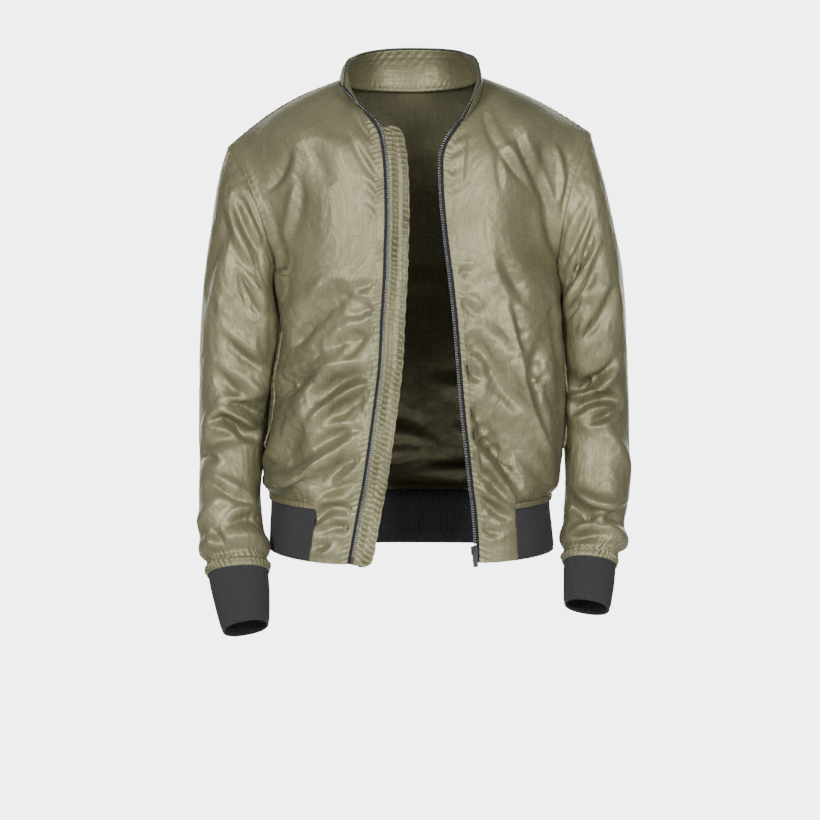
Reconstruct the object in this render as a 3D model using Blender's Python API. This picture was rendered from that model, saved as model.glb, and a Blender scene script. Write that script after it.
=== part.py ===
"""Bomber jacket, worn open: a hollow shell of the pieces that a maker cuts and sews.

Units are metres. +X is the wearer's left, -Y the front and +Z up. The origin is between the two
points where the shoulder seams meet the collar, which is where the wearer holds the jacket up.
"""

import math

import bmesh
import bpy
import numpy as np

# Cloth and seams
SHELL_WALL = 0.0020
RIB_WALL = 0.0026
SEAM_GAP = 0.0004
CREASE_GAP = 0.0003
COLLAR_SEAM_GAP = 0.0012
STACK_GAP = 0.0003

# How many cells each stretch of the coarse shell has
HEM_ROWS = 2
SIDE_ROWS = 7
ARMHOLE_ROWS = 7
SHOULDER_ROWS = 4
FRONT_CELLS = 11
TAB_CELLS = 3
BACK_CELLS = 18
SLEEVE_CELLS = 13
CUFF_CELLS = 2
COLLAR_CELLS = 2

RIGHT, LEFT = -1, 1

# Rows of the body from the hem up. Each row runs from the front edge round to its side point, and
# the back's row runs from there to the centre back. *_r is the wearer's right and *_l the left;
# x is the distance from the centre. (out, back, up) is the row's direction at its side point.
ROW_NAMES = """edge_xr edge_xl edge_y edge_zr edge_zl start_back start_up
    side_xr side_xl side_y side_z out back up centre_y centre_z"""
ROWS = (
    (.079, .087, -.128, -.594, -.592, 0, 0, .1825, .187, 0, -.583, 0, 1, 0, .113, -.583),  # hem
    (.072, .086, -.129, -.558, -.558, 0, 0, .181, .184, 0, -.548, 0, 1, 0, .114, -.548),
    (.0655, .083, -.131, -.522, -.522, 0, 0, .181, .182, 0, -.512, 0, 1, 0, .117, -.512),  # rib seam
    (.061, .080, -.136, -.500, -.500, 0, 0, .1885, .1925, 0, -.492, 0, 1, 0, .131, -.492),
    (.0555, .076, -.139, -.465, -.465, 0, 0, .1865, .1935, 0, -.460, 0, 1, 0, .136, -.460),
    (.0465, .069, -.139, -.400, -.400, 0, 0, .178, .1925, .002, -.395, 0, 1, 0, .132, -.395),
    (.0395, .064, -.138, -.340, -.340, 0, 0, .167, .1915, .004, -.335, 0, 1, 0, .133, -.335),
    (.037, .0595, -.137, -.285, -.285, 0, 0, .161, .190, .006, -.283, 0, 1, 0, .140, -.283),
)
# Above the armpit the side point follows the armhole, by its angle from the shoulder tip, and
# then the shoulder seam, by its share of the way to the neck.
ARMHOLE_NAMES = "angle edge_xr edge_xl edge_y edge_zr edge_zl out back up centre_y centre_z"
ARMHOLE = (
    (180, .034, .0545, -.135, -.238, -.238, 0, 1, 0, .146, -.236),
    (145, .033, .050, -.134, -.203, -.203, .55, .83, 0, .148, -.200),
    (108, .032, .046, -.132, -.168, -.168, .80, .60, 0, .148, -.163),
    (72, .032, .043, -.129, -.133, -.133, .90, .42, -.10, .145, -.125),
    (36, .033, .042, -.126, -.103, -.108, .85, .45, -.28, .139, -.090),
    (0, .035, .042, -.122, -.080, -.086, .50, .80, -.25, .131, -.060),
)
SHOULDER_NAMES = """share edge_xr edge_xl edge_y edge_zr edge_zl start_back start_up
    out back up centre_y centre_z"""
SHOULDER = (
    (1 / 3, .0375, .0465, -.117, -.064, -.068, .10, .10, .10, 1, -.02, .120, -.033),
    (2 / 3, .0435, .056, -.110, -.046, -.053, .45, .35, 0, 1, 0, .106, -.006),
    (1, .060, .069, -.098, -.026, -.036, 1.67, 1.1, -.05, 1, .10, .088, .022),
)
ROW_FULLNESS = 0.60  # how square the body's rows are: 0.55 is an ellipse
HEM_SEAM, ARMPIT, SHOULDER_TIP, LAST_ROW = 2, 8, 13, 16  # places in the joined rows
FAIRING = 14  # rounds of smoothing above the armpit

# Armholes and shoulders, one row for each side
ARM_NAMES = "tip_x tip_z armpit_x armpit_z neck_x neck_z shoulder_crown"
ARMS = {
    RIGHT: (.236, -.058, .174, -.232, .090, .027, .012),
    LEFT: (.234, -.040, .190, -.235, .090, .031, .007),
}
ARMHOLE_MID_Y, ARMHOLE_DEPTH, ARMHOLE_SCOOP = 0.006, 0.068, 0.012
SHOULDER_Y = 0.010

# Sleeve rings below the armhole: the outer and inner points, seen from the front, then the
# ring's middle and half depth front to back, and how far its front is tipped up.
RING_NAMES = "outer_x outer_z inner_x inner_z mid_y depth tip_deg"
SLEEVES = {
    RIGHT: (
        (.2475, -.098, .1815, -.249, .004, .073, 0),
        (.2570, -.155, .1815, -.264, .002, .072, 0),
        (.2650, -.209, .1765, -.282, .000, .070, 0),
        (.2715, -.276, .1700, -.308, .000, .066, 0),
        (.2738, -.341, .1790, -.352, .003, .062, 2),
        (.2750, -.405, .1875, -.405, .004, .058, 8),
        (.2740, -.453, .1880, -.453, -.008, .056, 14),
        (.2730, -.501, .1930, -.501, -.025, .054, 18),
        (.2716, -.549, .1890, -.548, -.043, .051, 20),
        (.2674, -.576, .1840, -.574, -.053, .048, 20),
        (.2605, -.604, .1810, -.597, -.062, .041, 20),
    ),
    LEFT: (
        (.2450, -.080, .1985, -.251, .004, .073, 0),
        (.2570, -.125, .2010, -.268, .002, .072, 0),
        (.2700, -.186, .2015, -.288, .000, .070, 0),
        (.2790, -.251, .2020, -.314, .000, .066, 0),
        (.2835, -.345, .2015, -.354, .003, .062, 2),
        (.2855, -.401, .2015, -.401, .004, .058, 8),
        (.2845, -.455, .2015, -.455, -.008, .056, 14),
        (.2835, -.512, .1995, -.509, -.025, .054, 18),
        (.2755, -.548, .1970, -.545, -.041, .051, 20),
        (.2755, -.572, .1960, -.569, -.050, .047, 20),
        (.2650, -.5925, .1960, -.586, -.057, .040, 20),
    ),
}
CUFFS = {
    RIGHT: (
        (.2590, -.6085, .1820, -.6015, -.063, .0395, 20),
        (.2510, -.640, .1795, -.634, -.073, .0365, 20),
        (.2385, -.684, .1785, -.673, -.089, .0325, 22),
    ),
    LEFT: (
        (.2635, -.597, .1970, -.590, -.0575, .0385, 20),
        (.2600, -.625, .1965, -.619, -.067, .0355, 20),
        (.2545, -.6575, .1955, -.648, -.079, .0315, 22),
    ),
}
RING_SQUARENESS = 0.90  # below 1 a ring is fuller than an ellipse

# Collar: the top edge's front corner, side and centre back
COLLAR_CORNER = {RIGHT: (.0840, -.077, .0070), LEFT: (.0905, -.075, .0135)}
COLLAR_SIDE = {RIGHT: (.0735, .016, .058), LEFT: (.0735, .016, .062)}
COLLAR_BACK = (0, .080, .074)
COLLAR_BOW = 0.003
COLLAR_WALL = 0.0016
FACING_START = 0.12  # how far up the collar its facing starts, clear of the shell's wall
PIPING_RADIUS = 0.0014

# Zip
TAPE_UNDER, TAPE_SHOWS, TAPE_WALL = 0.008, 0.0028, 0.0010
TAPE_NARROWS_ROW, TAPE_CLEAR = 13.5, 0.0008  # above this row the tape lies beside the edge
TAPE_TUCKED = 0.0002  # beside the box and the slider, which take the tape's place
TAPE_STARTS = {RIGHT: (0.0,), LEFT: (0.0, 0.0207, 0.0213)}
CHAIN_WIDTH, CHAIN_WALL = 0.0042, 0.0030
GUARD_UNDER, GUARD_SHOWS, GUARD_WALL = 0.012, 0.031, 0.0020
GUARD_TOP_ROW = 15
GUARD_STRAIGHT_ROW = 12.2  # above this the guard keeps straight on while the zip turns away
GUARD_TOP_REACH, GUARD_TOP_BACK = 0.016, 0.0012
GUARD_ROUND = 0.012
CHAIN_MIDDLE = TAPE_SHOWS + STACK_GAP + CHAIN_WIDTH / 2
ZIP_PIN = (0.0030, 0.0030, 0.0100)  # across, thick, along
ZIP_BOX = (0.0062, 0.0042, 0.0090)
SLIDER = (0.0095, 0.0060, 0.0110)
SLIDER_AT = 0.0150
HINGE_OUT, HINGE_UP = 0.0014, 0.0020
BRIDGE_SPAN, BRIDGE_BAR, BRIDGE_WIDE = 0.0028, 0.0009, 0.0018
PULL = (0.0060, 0.0013, 0.0230)
PULL_ABOVE_PIN = 0.0007
PULL_SLOT, PULL_SLOT_LONG = 0.0028, 0.0036
CHAIN_FROM = {RIGHT: 0.0108, LEFT: 0.0210}

# Pocket welts, as places on the front panel: across (0 at the zip, 1 at the side seam) and row
WELT_NAMES = "bottom_across bottom_row top_across top_row"
WELTS = {RIGHT: (.825, 4.15, .765, 6.65), LEFT: (.865, 4.15, .86, 6.55)}
WELT_WIDTH, WELT_WALL = 0.013, 0.0016
WELT_LIFT = 0.0015  # clears the coarse panel's flat facets

# Largest folds of the shell: piece, from (across, row), to (across, row), half width, height
FRONT_FOLDS = {
    RIGHT: (
        (.95, 3.6, .18, 5.2, .015, .007),
        (.90, 4.6, .25, 6.4, .017, -.006),
        (.80, 2.8, .35, 3.8, .013, .005),
        (.78, 8.4, .92, 10.4, .014, -.005),
    ),
    LEFT: (
        (.10, 6.6, .62, 4.4, .016, .006),
        (.12, 5.2, .62, 2.9, .015, -.006),
        (.66, 7.6, .90, 3.4, .014, .005),
        (.66, 12.2, .86, 9.6, .012, -.004),
    ),
}
BACK_FOLDS = (
    (.12, 7.2, .42, 3.6, .018, .006),
    (.88, 7.2, .60, 3.8, .018, .006),
    (.30, 3.2, .55, 3.8, .014, -.005),
)
SLEEVE_FOLDS = {  # across is the share of the way round from the shoulder, by the front
    RIGHT: (
        (.20, 1.2, .05, 4.0, .013, -.006),
        (.44, 5.2, .10, 6.6, .013, .007),
        (.45, 6.4, .02, 7.4, .012, -.007),
        (.30, 8.4, .02, 9.2, .012, .005),
        (.60, 5.6, .95, 6.6, .014, -.006),
    ),
    LEFT: (
        (.40, 2.4, .10, 4.2, .013, .006),
        (.45, 5.0, .08, 6.2, .013, -.007),
        (.42, 6.0, .04, 7.6, .013, .006),
        (.40, 8.6, .06, 9.4, .012, -.005),
        (.60, 5.6, .95, 6.6, .014, -.006),
    ),
}

COLOURS = {  # base colour, roughness, metallic
    "nylon": ((.19, .185, .115), .42, 0),
    "rib_knit": ((.028, .028, .031), .85, 0),
    "piping": ((.035, .055, .042), .6, 0),
    "zip_tape": ((.016, .017, .021), .8, 0),
    "zip_metal": ((.055, .058, .066), .35, 1),
}


# ---------------------------------------------------------------- tables and curves


def table(names, rows):
    """A dict of columns from a short table."""
    return {name: np.array([row[i] for row in rows], float) for i, name in enumerate(names.split())}


def spline(knots, values, at):
    """Natural cubic spline through one row of values for each knot."""
    values = np.asarray(values, float)
    count, step = len(knots), np.diff(knots)
    system = np.eye(count)
    right = np.zeros_like(values)
    for i in range(1, count - 1):
        system[i, i - 1 : i + 2] = step[i - 1], 2 * (step[i - 1] + step[i]), step[i]
        right[i] = 6 * ((values[i + 1] - values[i]) / step[i] - (values[i] - values[i - 1]) / step[i - 1])
    bend = np.linalg.solve(system, right)
    i = np.clip(np.searchsorted(knots, at) - 1, 0, count - 2)
    h = step[i][:, None]
    a, b = (knots[i + 1] - at)[:, None], (at - knots[i])[:, None]
    return (
        (bend[i] * a**3 + bend[i + 1] * b**3) / (6 * h)
        + (values[i] / h - bend[i] * h / 6) * a
        + (values[i + 1] / h - bend[i + 1] * h / 6) * b
    )


def unit(vectors):
    return vectors / np.maximum(np.linalg.norm(vectors, axis=-1, keepdims=True), 1e-12)


def bezier_rows(start, start_way, end, end_way, across, fullness=ROW_FULLNESS):
    """A row of points for each start, spaced by arc length, leaving and arriving along its ways."""
    start_way, end_way, gap = unit(start_way), unit(end_way), end - start
    least = 0.3 * np.linalg.norm(gap, axis=1)
    reach_out = np.maximum((gap * start_way).sum(1), least)[:, None] * fullness
    reach_in = np.maximum((gap * end_way).sum(1), least)[:, None] * fullness
    fine = np.linspace(0, 1, 61)[None, :, None]
    corners = [start, start + start_way * reach_out, end - end_way * reach_in, end]
    weights = [(1 - fine) ** 3, 3 * fine * (1 - fine) ** 2, 3 * fine**2 * (1 - fine), fine**3]
    curve = sum(w * c[:, None] for w, c in zip(weights, corners))
    along = np.zeros(curve.shape[:2])
    along[:, 1:] = np.cumsum(np.linalg.norm(np.diff(curve, axis=1), axis=2), axis=1)
    rows = np.empty((len(start), len(across), 3))
    for i, far in enumerate(along):
        for k in range(3):
            rows[i, :, k] = np.interp(np.asarray(across) * far[-1], far, curve[i, :, k])
    return rows


# ---------------------------------------------------------------- the shell's form


def arm(side):
    return dict(zip(ARM_NAMES.split(), ARMS[side]))


def armhole(side, degrees, front):
    """Points of the armhole, by angle from the shoulder tip (0) to the armpit (180)."""
    a, angle = arm(side), np.radians(np.asarray(degrees, float))
    share = (1 - np.cos(angle)) / 2
    scoop = ARMHOLE_SCOOP * (1 if front else 0.5) * np.sin(angle) ** 2
    x = a["tip_x"] + (a["armpit_x"] - a["tip_x"]) * share - scoop
    y = ARMHOLE_MID_Y - ARMHOLE_DEPTH * np.sin(angle) * (1 if front else -1)
    z = a["tip_z"] + (a["armpit_z"] - a["tip_z"]) * share
    y = y + (SHOULDER_Y - ARMHOLE_MID_Y) * (1 - share)
    return np.stack([side * x, y, z], axis=-1)


def shoulder(side, share):
    """Points of the shoulder seam, from the tip (0) to the neck (1)."""
    a, share = arm(side), np.asarray(share, float)
    x = a["tip_x"] + (a["neck_x"] - a["tip_x"]) * share
    z = a["tip_z"] + (a["neck_z"] - a["tip_z"]) * share + a["shoulder_crown"] * np.sin(math.pi * share)
    return np.stack([side * x, np.full_like(x, SHOULDER_Y), z], axis=-1)


def body_rows(side):
    """Every row's front edge, its start way, its armhole angle or shoulder share, its end way
    in (out, back, up) and its centre back point, from the hem to the neck."""
    tag = "xr" if side == RIGHT else "xl"
    low, mid, top = table(ROW_NAMES, ROWS), table(ARMHOLE_NAMES, ARMHOLE), table(SHOULDER_NAMES, SHOULDER)
    for t in (low, mid, top):
        t["edge"] = np.stack([side * t["edge_" + tag], t["edge_y"], t["edge_z" + tag[1]]], axis=1)
        t["way"] = np.stack([side * t["out"], t["back"], t["up"]], axis=1)
        ones = np.ones(len(t["edge"]))
        start = side * ones, t.get("start_back", 0 * ones), t.get("start_up", 0 * ones)
        t["start"] = np.stack(start, axis=1)
        t["centre"] = np.stack([0 * ones, t["centre_y"], t["centre_z"]], axis=1)
    joined = {k: np.concatenate([t[k] for t in (low, mid, top)]) for k in ("edge", "way", "start", "centre")}
    joined["side"] = np.concatenate([
        np.stack([side * low["side_" + tag], low["side_y"], low["side_z"]], axis=1),
        np.zeros((len(mid["angle"]), 3)),
        np.zeros((len(top["share"]), 3)),
    ])
    joined["angle"] = mid["angle"]
    joined["share"] = np.concatenate([[0], top["share"]])
    return joined


def side_points(side, rows, places, front):
    """The side seam, the armhole and the shoulder seam as one line, at the rows' places."""
    seam = np.concatenate([rows["side"][:ARMPIT], armhole(side, [180], front)])
    points = spline(np.arange(ARMPIT + 1.0), seam, np.minimum(places, ARMPIT))
    turn = np.interp(places, np.arange(ARMPIT, SHOULDER_TIP + 1), rows["angle"])
    in_armhole = (places > ARMPIT) & (places <= SHOULDER_TIP)
    points[in_armhole] = armhole(side, turn[in_armhole], front)
    share = np.interp(places, np.arange(SHOULDER_TIP, SHOULDER_TIP + 4), rows["share"])
    over = places > SHOULDER_TIP
    points[over] = shoulder(side, share[over])
    return points


def fold_height(folds, across, places, widths):
    """The sum of soft ridges and troughs, each fading at its ends."""
    height = np.zeros((len(places), len(across)))
    u = np.asarray(across)[None, :]
    v = np.asarray(places)[:, None]
    for from_across, from_row, to_across, to_row, width, tall in folds:
        ax, ay = from_across * widths, from_row * ROW_PITCH
        bx, by = to_across * widths, to_row * ROW_PITCH
        px, py = u * widths, v * ROW_PITCH
        long = math.hypot(bx - ax, by - ay)
        along = ((px - ax) * (bx - ax) + (py - ay) * (by - ay)) / long**2
        off = ((px - ax) * (by - ay) - (py - ay) * (bx - ax)) / long
        fade = np.clip(np.minimum(along, 1 - along) * 3 + 0.35, 0, 1)
        height += tall * np.exp(-((off / width) ** 2)) * fade**2 * (3 - 2 * fade)
    return height


ROW_PITCH = 0.045  # the usual distance between two rows of the tables
FRONT_WIDTH, BACK_WIDTH, SLEEVE_ROUND = 0.23, 0.46, 0.36


def faired(form, edges, places, across):
    """The form's net above the armpit smoothed, then read at the places and across, with its
    side columns put back on the seams."""
    net_places = np.linspace(0, LAST_ROW, 2 * LAST_ROW + 1)
    net_across = np.linspace(0, 1, 25)
    net = form(net_places, net_across)
    held = net.copy()
    share = np.clip((net_places - ARMPIT) / 3, 0, 1)[1:-1, None, None]
    for _ in range(FAIRING):
        middle = (net[:-2, 1:-1] + net[2:, 1:-1] + net[1:-1, :-2] + net[1:-1, 2:]) / 4
        net[1:-1, 1:-1] += 0.5 * share * (middle - net[1:-1, 1:-1])
    net[:, 0], net[:, -1] = held[:, 0], held[:, -1]
    rows = spline(net_places, net.reshape(len(net), -1), places).reshape(len(places), len(net_across), 3)
    turned = rows.transpose(1, 0, 2).reshape(len(net_across), -1)
    grid = spline(net_across, turned, np.asarray(across)).reshape(len(across), len(places), 3)
    grid = grid.transpose(1, 0, 2)
    for column, wanted in edges.items():
        reach = np.abs(np.asarray(across) - np.asarray(across)[column])
        share = np.clip(1 - reach / 0.15, 0, 1)[None, :, None] ** 2
        grid = grid + (wanted - grid[:, column])[:, None] * share
    return grid


def front_form(side, places, across):
    rows = body_rows(side)
    knots = np.arange(len(rows["edge"]), dtype=float)
    edge = spline(knots, rows["edge"], places)
    start = spline(knots, rows["start"], places)
    way = spline(knots, unit(rows["way"]), places)
    return bezier_rows(edge, start, side_points(side, rows, places, True), way, across)


def front_grid(side, places, across):
    """The front panel's outer face, a row for each place from the hem up."""
    rows = body_rows(side)
    places = np.asarray(places, float)
    edges = {}
    if across[0] == 0 and across[-1] == 1:
        edges = {0: spline(np.arange(LAST_ROW + 1.0), rows["edge"], places)}
        edges[-1] = side_points(side, rows, places, True)
    grid = faired(lambda p, a: front_form(side, p, a), edges, places, across)
    heights = fold_height(FRONT_FOLDS[side], across, places, FRONT_WIDTH)
    return raised(grid, heights * seam_fade(across, places, .16, .10), side > 0)


def seam_fade(across, places, first, last):
    """Folds fade out at a panel's edges, so that its seams stay where the next piece's are."""
    across = np.asarray(across)
    sideways = np.clip(across / first, 0, 1) * np.clip((1 - across) / last, 0, 1)
    upward = np.clip((np.asarray(places) - HEM_SEAM + .2) / 1.2, 0, 1)
    fade = upward[:, None] * sideways[None, :]
    return fade * fade * (3 - 2 * fade)


def back_form(places, across):
    halves = {}
    for side in (RIGHT, LEFT):
        rows = body_rows(side)
        knots = np.arange(len(rows["centre"]), dtype=float)
        centre = spline(knots, rows["centre"], places)
        way = spline(knots, unit(rows["way"] * (1, -1, 1)), places)
        outward = np.tile([float(side), 0, 0], (len(places), 1))
        share = [abs(2 * a - 1) for a in across if (2 * a - 1) * side >= 0]
        order = np.argsort(share)
        sides = side_points(side, rows, places, False)
        half = bezier_rows(centre, outward, sides, way, np.array(share)[order])
        halves[side] = half
    return np.concatenate([halves[RIGHT][:, ::-1], halves[LEFT][:, 1:]], axis=1)


def back_grid(places, across):
    """The back panel's outer face, each row from the right side round the back to the left."""
    places = np.asarray(places, float)
    edges = {
        0: side_points(RIGHT, body_rows(RIGHT), places, False),
        -1: side_points(LEFT, body_rows(LEFT), places, False),
    }
    grid = faired(back_form, edges, places, across)
    heights = fold_height(BACK_FOLDS, across, places, BACK_WIDTH)
    return raised(grid, heights * seam_fade(across, places, .06, .06))


def raised(grid, height, flip=False, wrap=False):
    """The grid moved out along its own normals."""
    return grid + grid_normals(grid, flip, wrap) * height[..., None]


def grid_normals(grid, flip=False, wrap=False):
    down = np.gradient(grid, axis=0)
    if wrap:
        over = (np.roll(grid, -1, axis=1) - np.roll(grid, 1, axis=1)) / 2
    else:
        over = np.gradient(grid, axis=1)
    return unit(np.cross(over, down)) * (1 if flip else -1)


def ring(side, row, turns):
    """A sleeve ring's points. A turn of 0 is the outer point and 0.25 the front."""
    r = dict(zip(RING_NAMES.split(), row))
    outer = np.array([side * r["outer_x"], r["mid_y"], r["outer_z"]])
    inner = np.array([side * r["inner_x"], r["mid_y"], r["inner_z"]])
    tip = math.radians(r["tip_deg"])
    front = r["depth"] * np.array([0, -math.cos(tip), math.sin(tip)])
    c, s = np.cos(2 * math.pi * turns), np.sin(2 * math.pi * turns)
    c, s = np.sign(c) * np.abs(c) ** RING_SQUARENESS, np.sign(s) * np.abs(s) ** RING_SQUARENESS
    return (outer + inner) / 2 + c[:, None] * (outer - inner) / 2 + s[:, None] * front


def armhole_turns(places):
    """How far round the sleeve each of the body's armhole rows is, by the front, then the back."""
    turn = np.interp(places, np.arange(ARMPIT, SHOULDER_TIP + 1), table(ARMHOLE_NAMES, ARMHOLE)["angle"])
    by_front = turn[::-1] / 360  # from the tip to the armpit
    return by_front, 1 - by_front[::-1][1:-1]


def sleeve_grid(side, armhole_places, steps):
    """The sleeve's outer face: a row for each ring down to the cuff seam, its first on the armhole."""
    by_front, by_back = armhole_turns(armhole_places)
    turns = np.concatenate([by_front, by_back])
    first = np.concatenate([
        armhole(side, by_front * 360, True),
        armhole(side, (1 - by_back) * 360, False),
    ])
    rings = np.array([first] + [ring(side, row, turns) for row in SLEEVES[side]])
    knots = np.arange(len(rings), dtype=float)
    grid = spline(knots, rings.reshape(len(rings), -1), steps).reshape(len(steps), -1, 3)
    steps = np.asarray(steps)
    ends = np.clip(np.minimum(steps / 1.5, (len(SLEEVES[side]) - steps) / 1.0), 0, 1)
    heights = fold_height(SLEEVE_FOLDS[side], turns, steps, SLEEVE_ROUND) * ends[:, None]
    return raised(grid, heights, side > 0, True)


def cuff_grid(side, turns, steps):
    rings = np.array([ring(side, row, turns) for row in CUFFS[side]])
    knots = np.arange(len(rings), dtype=float)
    return spline(knots, rings.reshape(len(rings), -1), steps).reshape(len(steps), -1, 3)


def collar_top(side, across):
    """Half of the collar's top edge, from the front corner (0) by the side to the centre back (1)."""
    corner = np.array(COLLAR_CORNER[side]) * (side, 1, 1)
    middle = np.array(COLLAR_SIDE[side]) * (side, 1, 1)
    back = np.array(COLLAR_BACK, float)
    front_share = 0.5
    front = bezier_rows(
        corner[None], np.array([[.02 * side, .62, .60]]), middle[None], np.array([[-.12 * side, 1, .18]]),
        [a / front_share for a in across if a <= front_share],
    )[0]
    rear = bezier_rows(
        middle[None], np.array([[-.12 * side, 1, .18]]), back[None], np.array([[-1.0 * side, 0, 0]]),
        [(a - front_share) / (1 - front_share) for a in across if a > front_share],
    )[0]
    return np.concatenate([front, rear])


# ---------------------------------------------------------------- solids


def material(name):
    colour, roughness, metallic = COLOURS[name]
    made = bpy.data.materials.new(name)
    made.use_nodes = True
    shader = made.node_tree.nodes["Principled BSDF"]
    shader.inputs["Base Color"].default_value = (*colour, 1)
    shader.inputs["Roughness"].default_value = roughness
    shader.inputs["Metallic"].default_value = metallic
    return made


def add_object(name, points, faces, finish):
    mesh = bpy.data.meshes.new(name)
    mesh.from_pydata([tuple(p) for p in points], [], [tuple(f) for f in faces])
    mesh.materials.append(bpy.data.materials[finish])
    made = bpy.data.objects.new(name, mesh)
    bpy.context.scene.collection.objects.link(made)
    work = bmesh.new()
    work.from_mesh(mesh)
    bmesh.ops.recalc_face_normals(work, faces=work.faces)
    if work.calc_volume(signed=True) < 0:
        bmesh.ops.reverse_faces(work, faces=work.faces)
    work.to_mesh(mesh)
    work.free()
    mesh.shade_smooth()
    mesh.set_sharp_from_angle(angle=math.radians(50))
    return made


class Sheet:
    """A grid of cloth: its outer points, its cells, its outward normals and its wall."""

    def __init__(self, name, grid, finish, flip=False, wrap=False, skip=None, wall=SHELL_WALL):
        self.name, self.grid, self.finish = name, np.array(grid), finish
        self.flip, self.wrap, self.wall = flip, wrap, wall
        rows, cells = self.grid.shape[0] - 1, self.grid.shape[1] - (0 if wrap else 1)
        self.used = np.ones((rows, cells), bool)
        if skip is not None:
            self.used &= ~skip
        self.normals = grid_normals(self.grid, flip, wrap)
        self.sunk = []  # points in a crease between two sheets, which move away from each other

    def corners(self, i, j):
        """A cell's four corners, wound so that the face points out."""
        width = self.grid.shape[1]
        right = (j + 1) % width
        found = [(i, j), (i, right), (i + 1, right), (i + 1, j)]
        return found if self.flip else found[::-1]

    def edge_uses(self):
        """Each directed edge of a used cell, once where it is on the boundary."""
        found = {}
        for i, j in zip(*np.nonzero(self.used)):
            loop = self.corners(i, j)
            for a, b in zip(loop, loop[1:] + loop[:1]):
                if (b, a) in found:
                    del found[(b, a)]
                else:
                    found[(a, b)] = True
        return list(found)

    def pull_back(self, distance):
        """Moves the boundary into the sheet, which leaves the gap at a seam."""
        moved = self.grid.copy()
        rows, width = self.grid.shape[:2]
        edge_points = {p for edge in self.edge_uses() for p in edge}
        inside = {p for i, j in zip(*np.nonzero(self.used)) for p in self.corners(i, j)} - edge_points
        for i, j in edge_points:
            near = [(i + a, (j + b) % width if self.wrap else j + b) for a in (-1, 0, 1) for b in (-1, 0, 1)]
            near = [p for p in near if p in inside]
            if not near:
                near = [(i + a, j + b) for a, b in ((-1, 0), (1, 0), (0, -1), (0, 1))]
                near = [p for p in near if p in edge_points]
            way = unit(np.mean([self.grid[p] for p in near], axis=0) - self.grid[i, j])
            moved[i, j] = self.grid[i, j] + way * distance
            if (i, j) in self.sunk:
                moved[i, j] -= self.normals[i, j] * CREASE_GAP
        self.grid = moved

    def solid(self):
        """A closed wall from the outer face inwards."""
        width = self.grid.shape[1]
        inner = self.grid - self.normals * self.wall
        points = np.concatenate([self.grid.reshape(-1, 3), inner.reshape(-1, 3)])
        below = self.grid.shape[0] * width

        def at(place):
            return place[0] * width + place[1]

        faces = []
        for i, j in zip(*np.nonzero(self.used)):
            a, b, c, d = (at(p) for p in self.corners(i, j))
            if np.linalg.norm(points[a] - points[c]) > np.linalg.norm(points[b] - points[d]):
                a, b, c, d = b, c, d, a
            for loop in ([a, b, c], [a, c, d]):
                faces += [loop, [p + below for p in reversed(loop)]]
        faces += [[at(b), at(a), at(a) + below, at(b) + below] for a, b in self.edge_uses()]
        used = sorted({p for f in faces for p in f})
        place = {p: n for n, p in enumerate(used)}
        return add_object(self.name, points[used], [[place[p] for p in f] for f in faces], self.finish)


def share_seam_normals(sheets):
    """Gives seam points that two sheets share one common normal, so that their walls meet."""
    met = {}
    for sheet in sheets:
        for place, point in np.ndenumerate(np.empty(sheet.grid.shape[:2])):
            key = tuple(np.round(sheet.grid[place] / 2e-4).astype(int))
            met.setdefault(key, []).append((sheet, place))
    for found in met.values():
        if len(found) < 2:
            continue
        own = [sheet.normals[place] for sheet, place in found]
        common = unit(np.sum(own, axis=0))
        for (sheet, place), normal in zip(found, own):
            if normal @ common > 0.55:
                sheet.normals[place] = common / max(normal @ common, 0.7)
            else:
                sheet.sunk.append(place)


def strip_solid(name, outlines, finish, close=False):
    """A closed solid through a row of outlines, each with the same number of corners."""
    outlines = np.array(outlines)
    count, corners = outlines.shape[:2]
    faces = []
    for i in range(count if close else count - 1):
        a, b = i * corners, ((i + 1) % count) * corners
        faces += [[a + k, a + (k + 1) % corners, b + (k + 1) % corners, b + k] for k in range(corners)]
    if not close:
        faces += [list(range(corners)), [(count - 1) * corners + k for k in reversed(range(corners))]]
    return add_object(name, outlines.reshape(-1, 3), faces, finish)


def box_solid(name, frame, size, finish, bevel=0.0006):
    """A bevelled block in a frame of (middle, across, out, along)."""
    middle, across, out, along = frame
    work = bmesh.new()
    bmesh.ops.create_cube(work, size=1)
    for vertex in work.verts:
        vertex.co = [c * s * 1000 for c, s in zip(vertex.co, size)]
    bmesh.ops.bevel(work, geom=list(work.edges), offset=bevel * 1000, segments=1, affect="EDGES")
    work.verts.index_update()
    points = [middle + (across * v.co.x + out * v.co.y + along * v.co.z) / 1000 for v in work.verts]
    faces = [[v.index for v in f.verts] for f in work.faces]
    work.free()
    return add_object(name, points, faces, finish)


# ---------------------------------------------------------------- the jacket


def row_places():
    """The body's row places, exact at the rib seam, the armpit, the shoulder tip and the neck."""
    stretches = (
        (0, HEM_SEAM, HEM_ROWS),
        (HEM_SEAM, ARMPIT, SIDE_ROWS),
        (ARMPIT, SHOULDER_TIP, ARMHOLE_ROWS),
        (SHOULDER_TIP, LAST_ROW, SHOULDER_ROWS),
    )
    parts = [np.linspace(a, b, n + 1)[:-1] for a, b, n in stretches]
    return np.concatenate(parts + [[stretches[-1][1]]])


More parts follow.
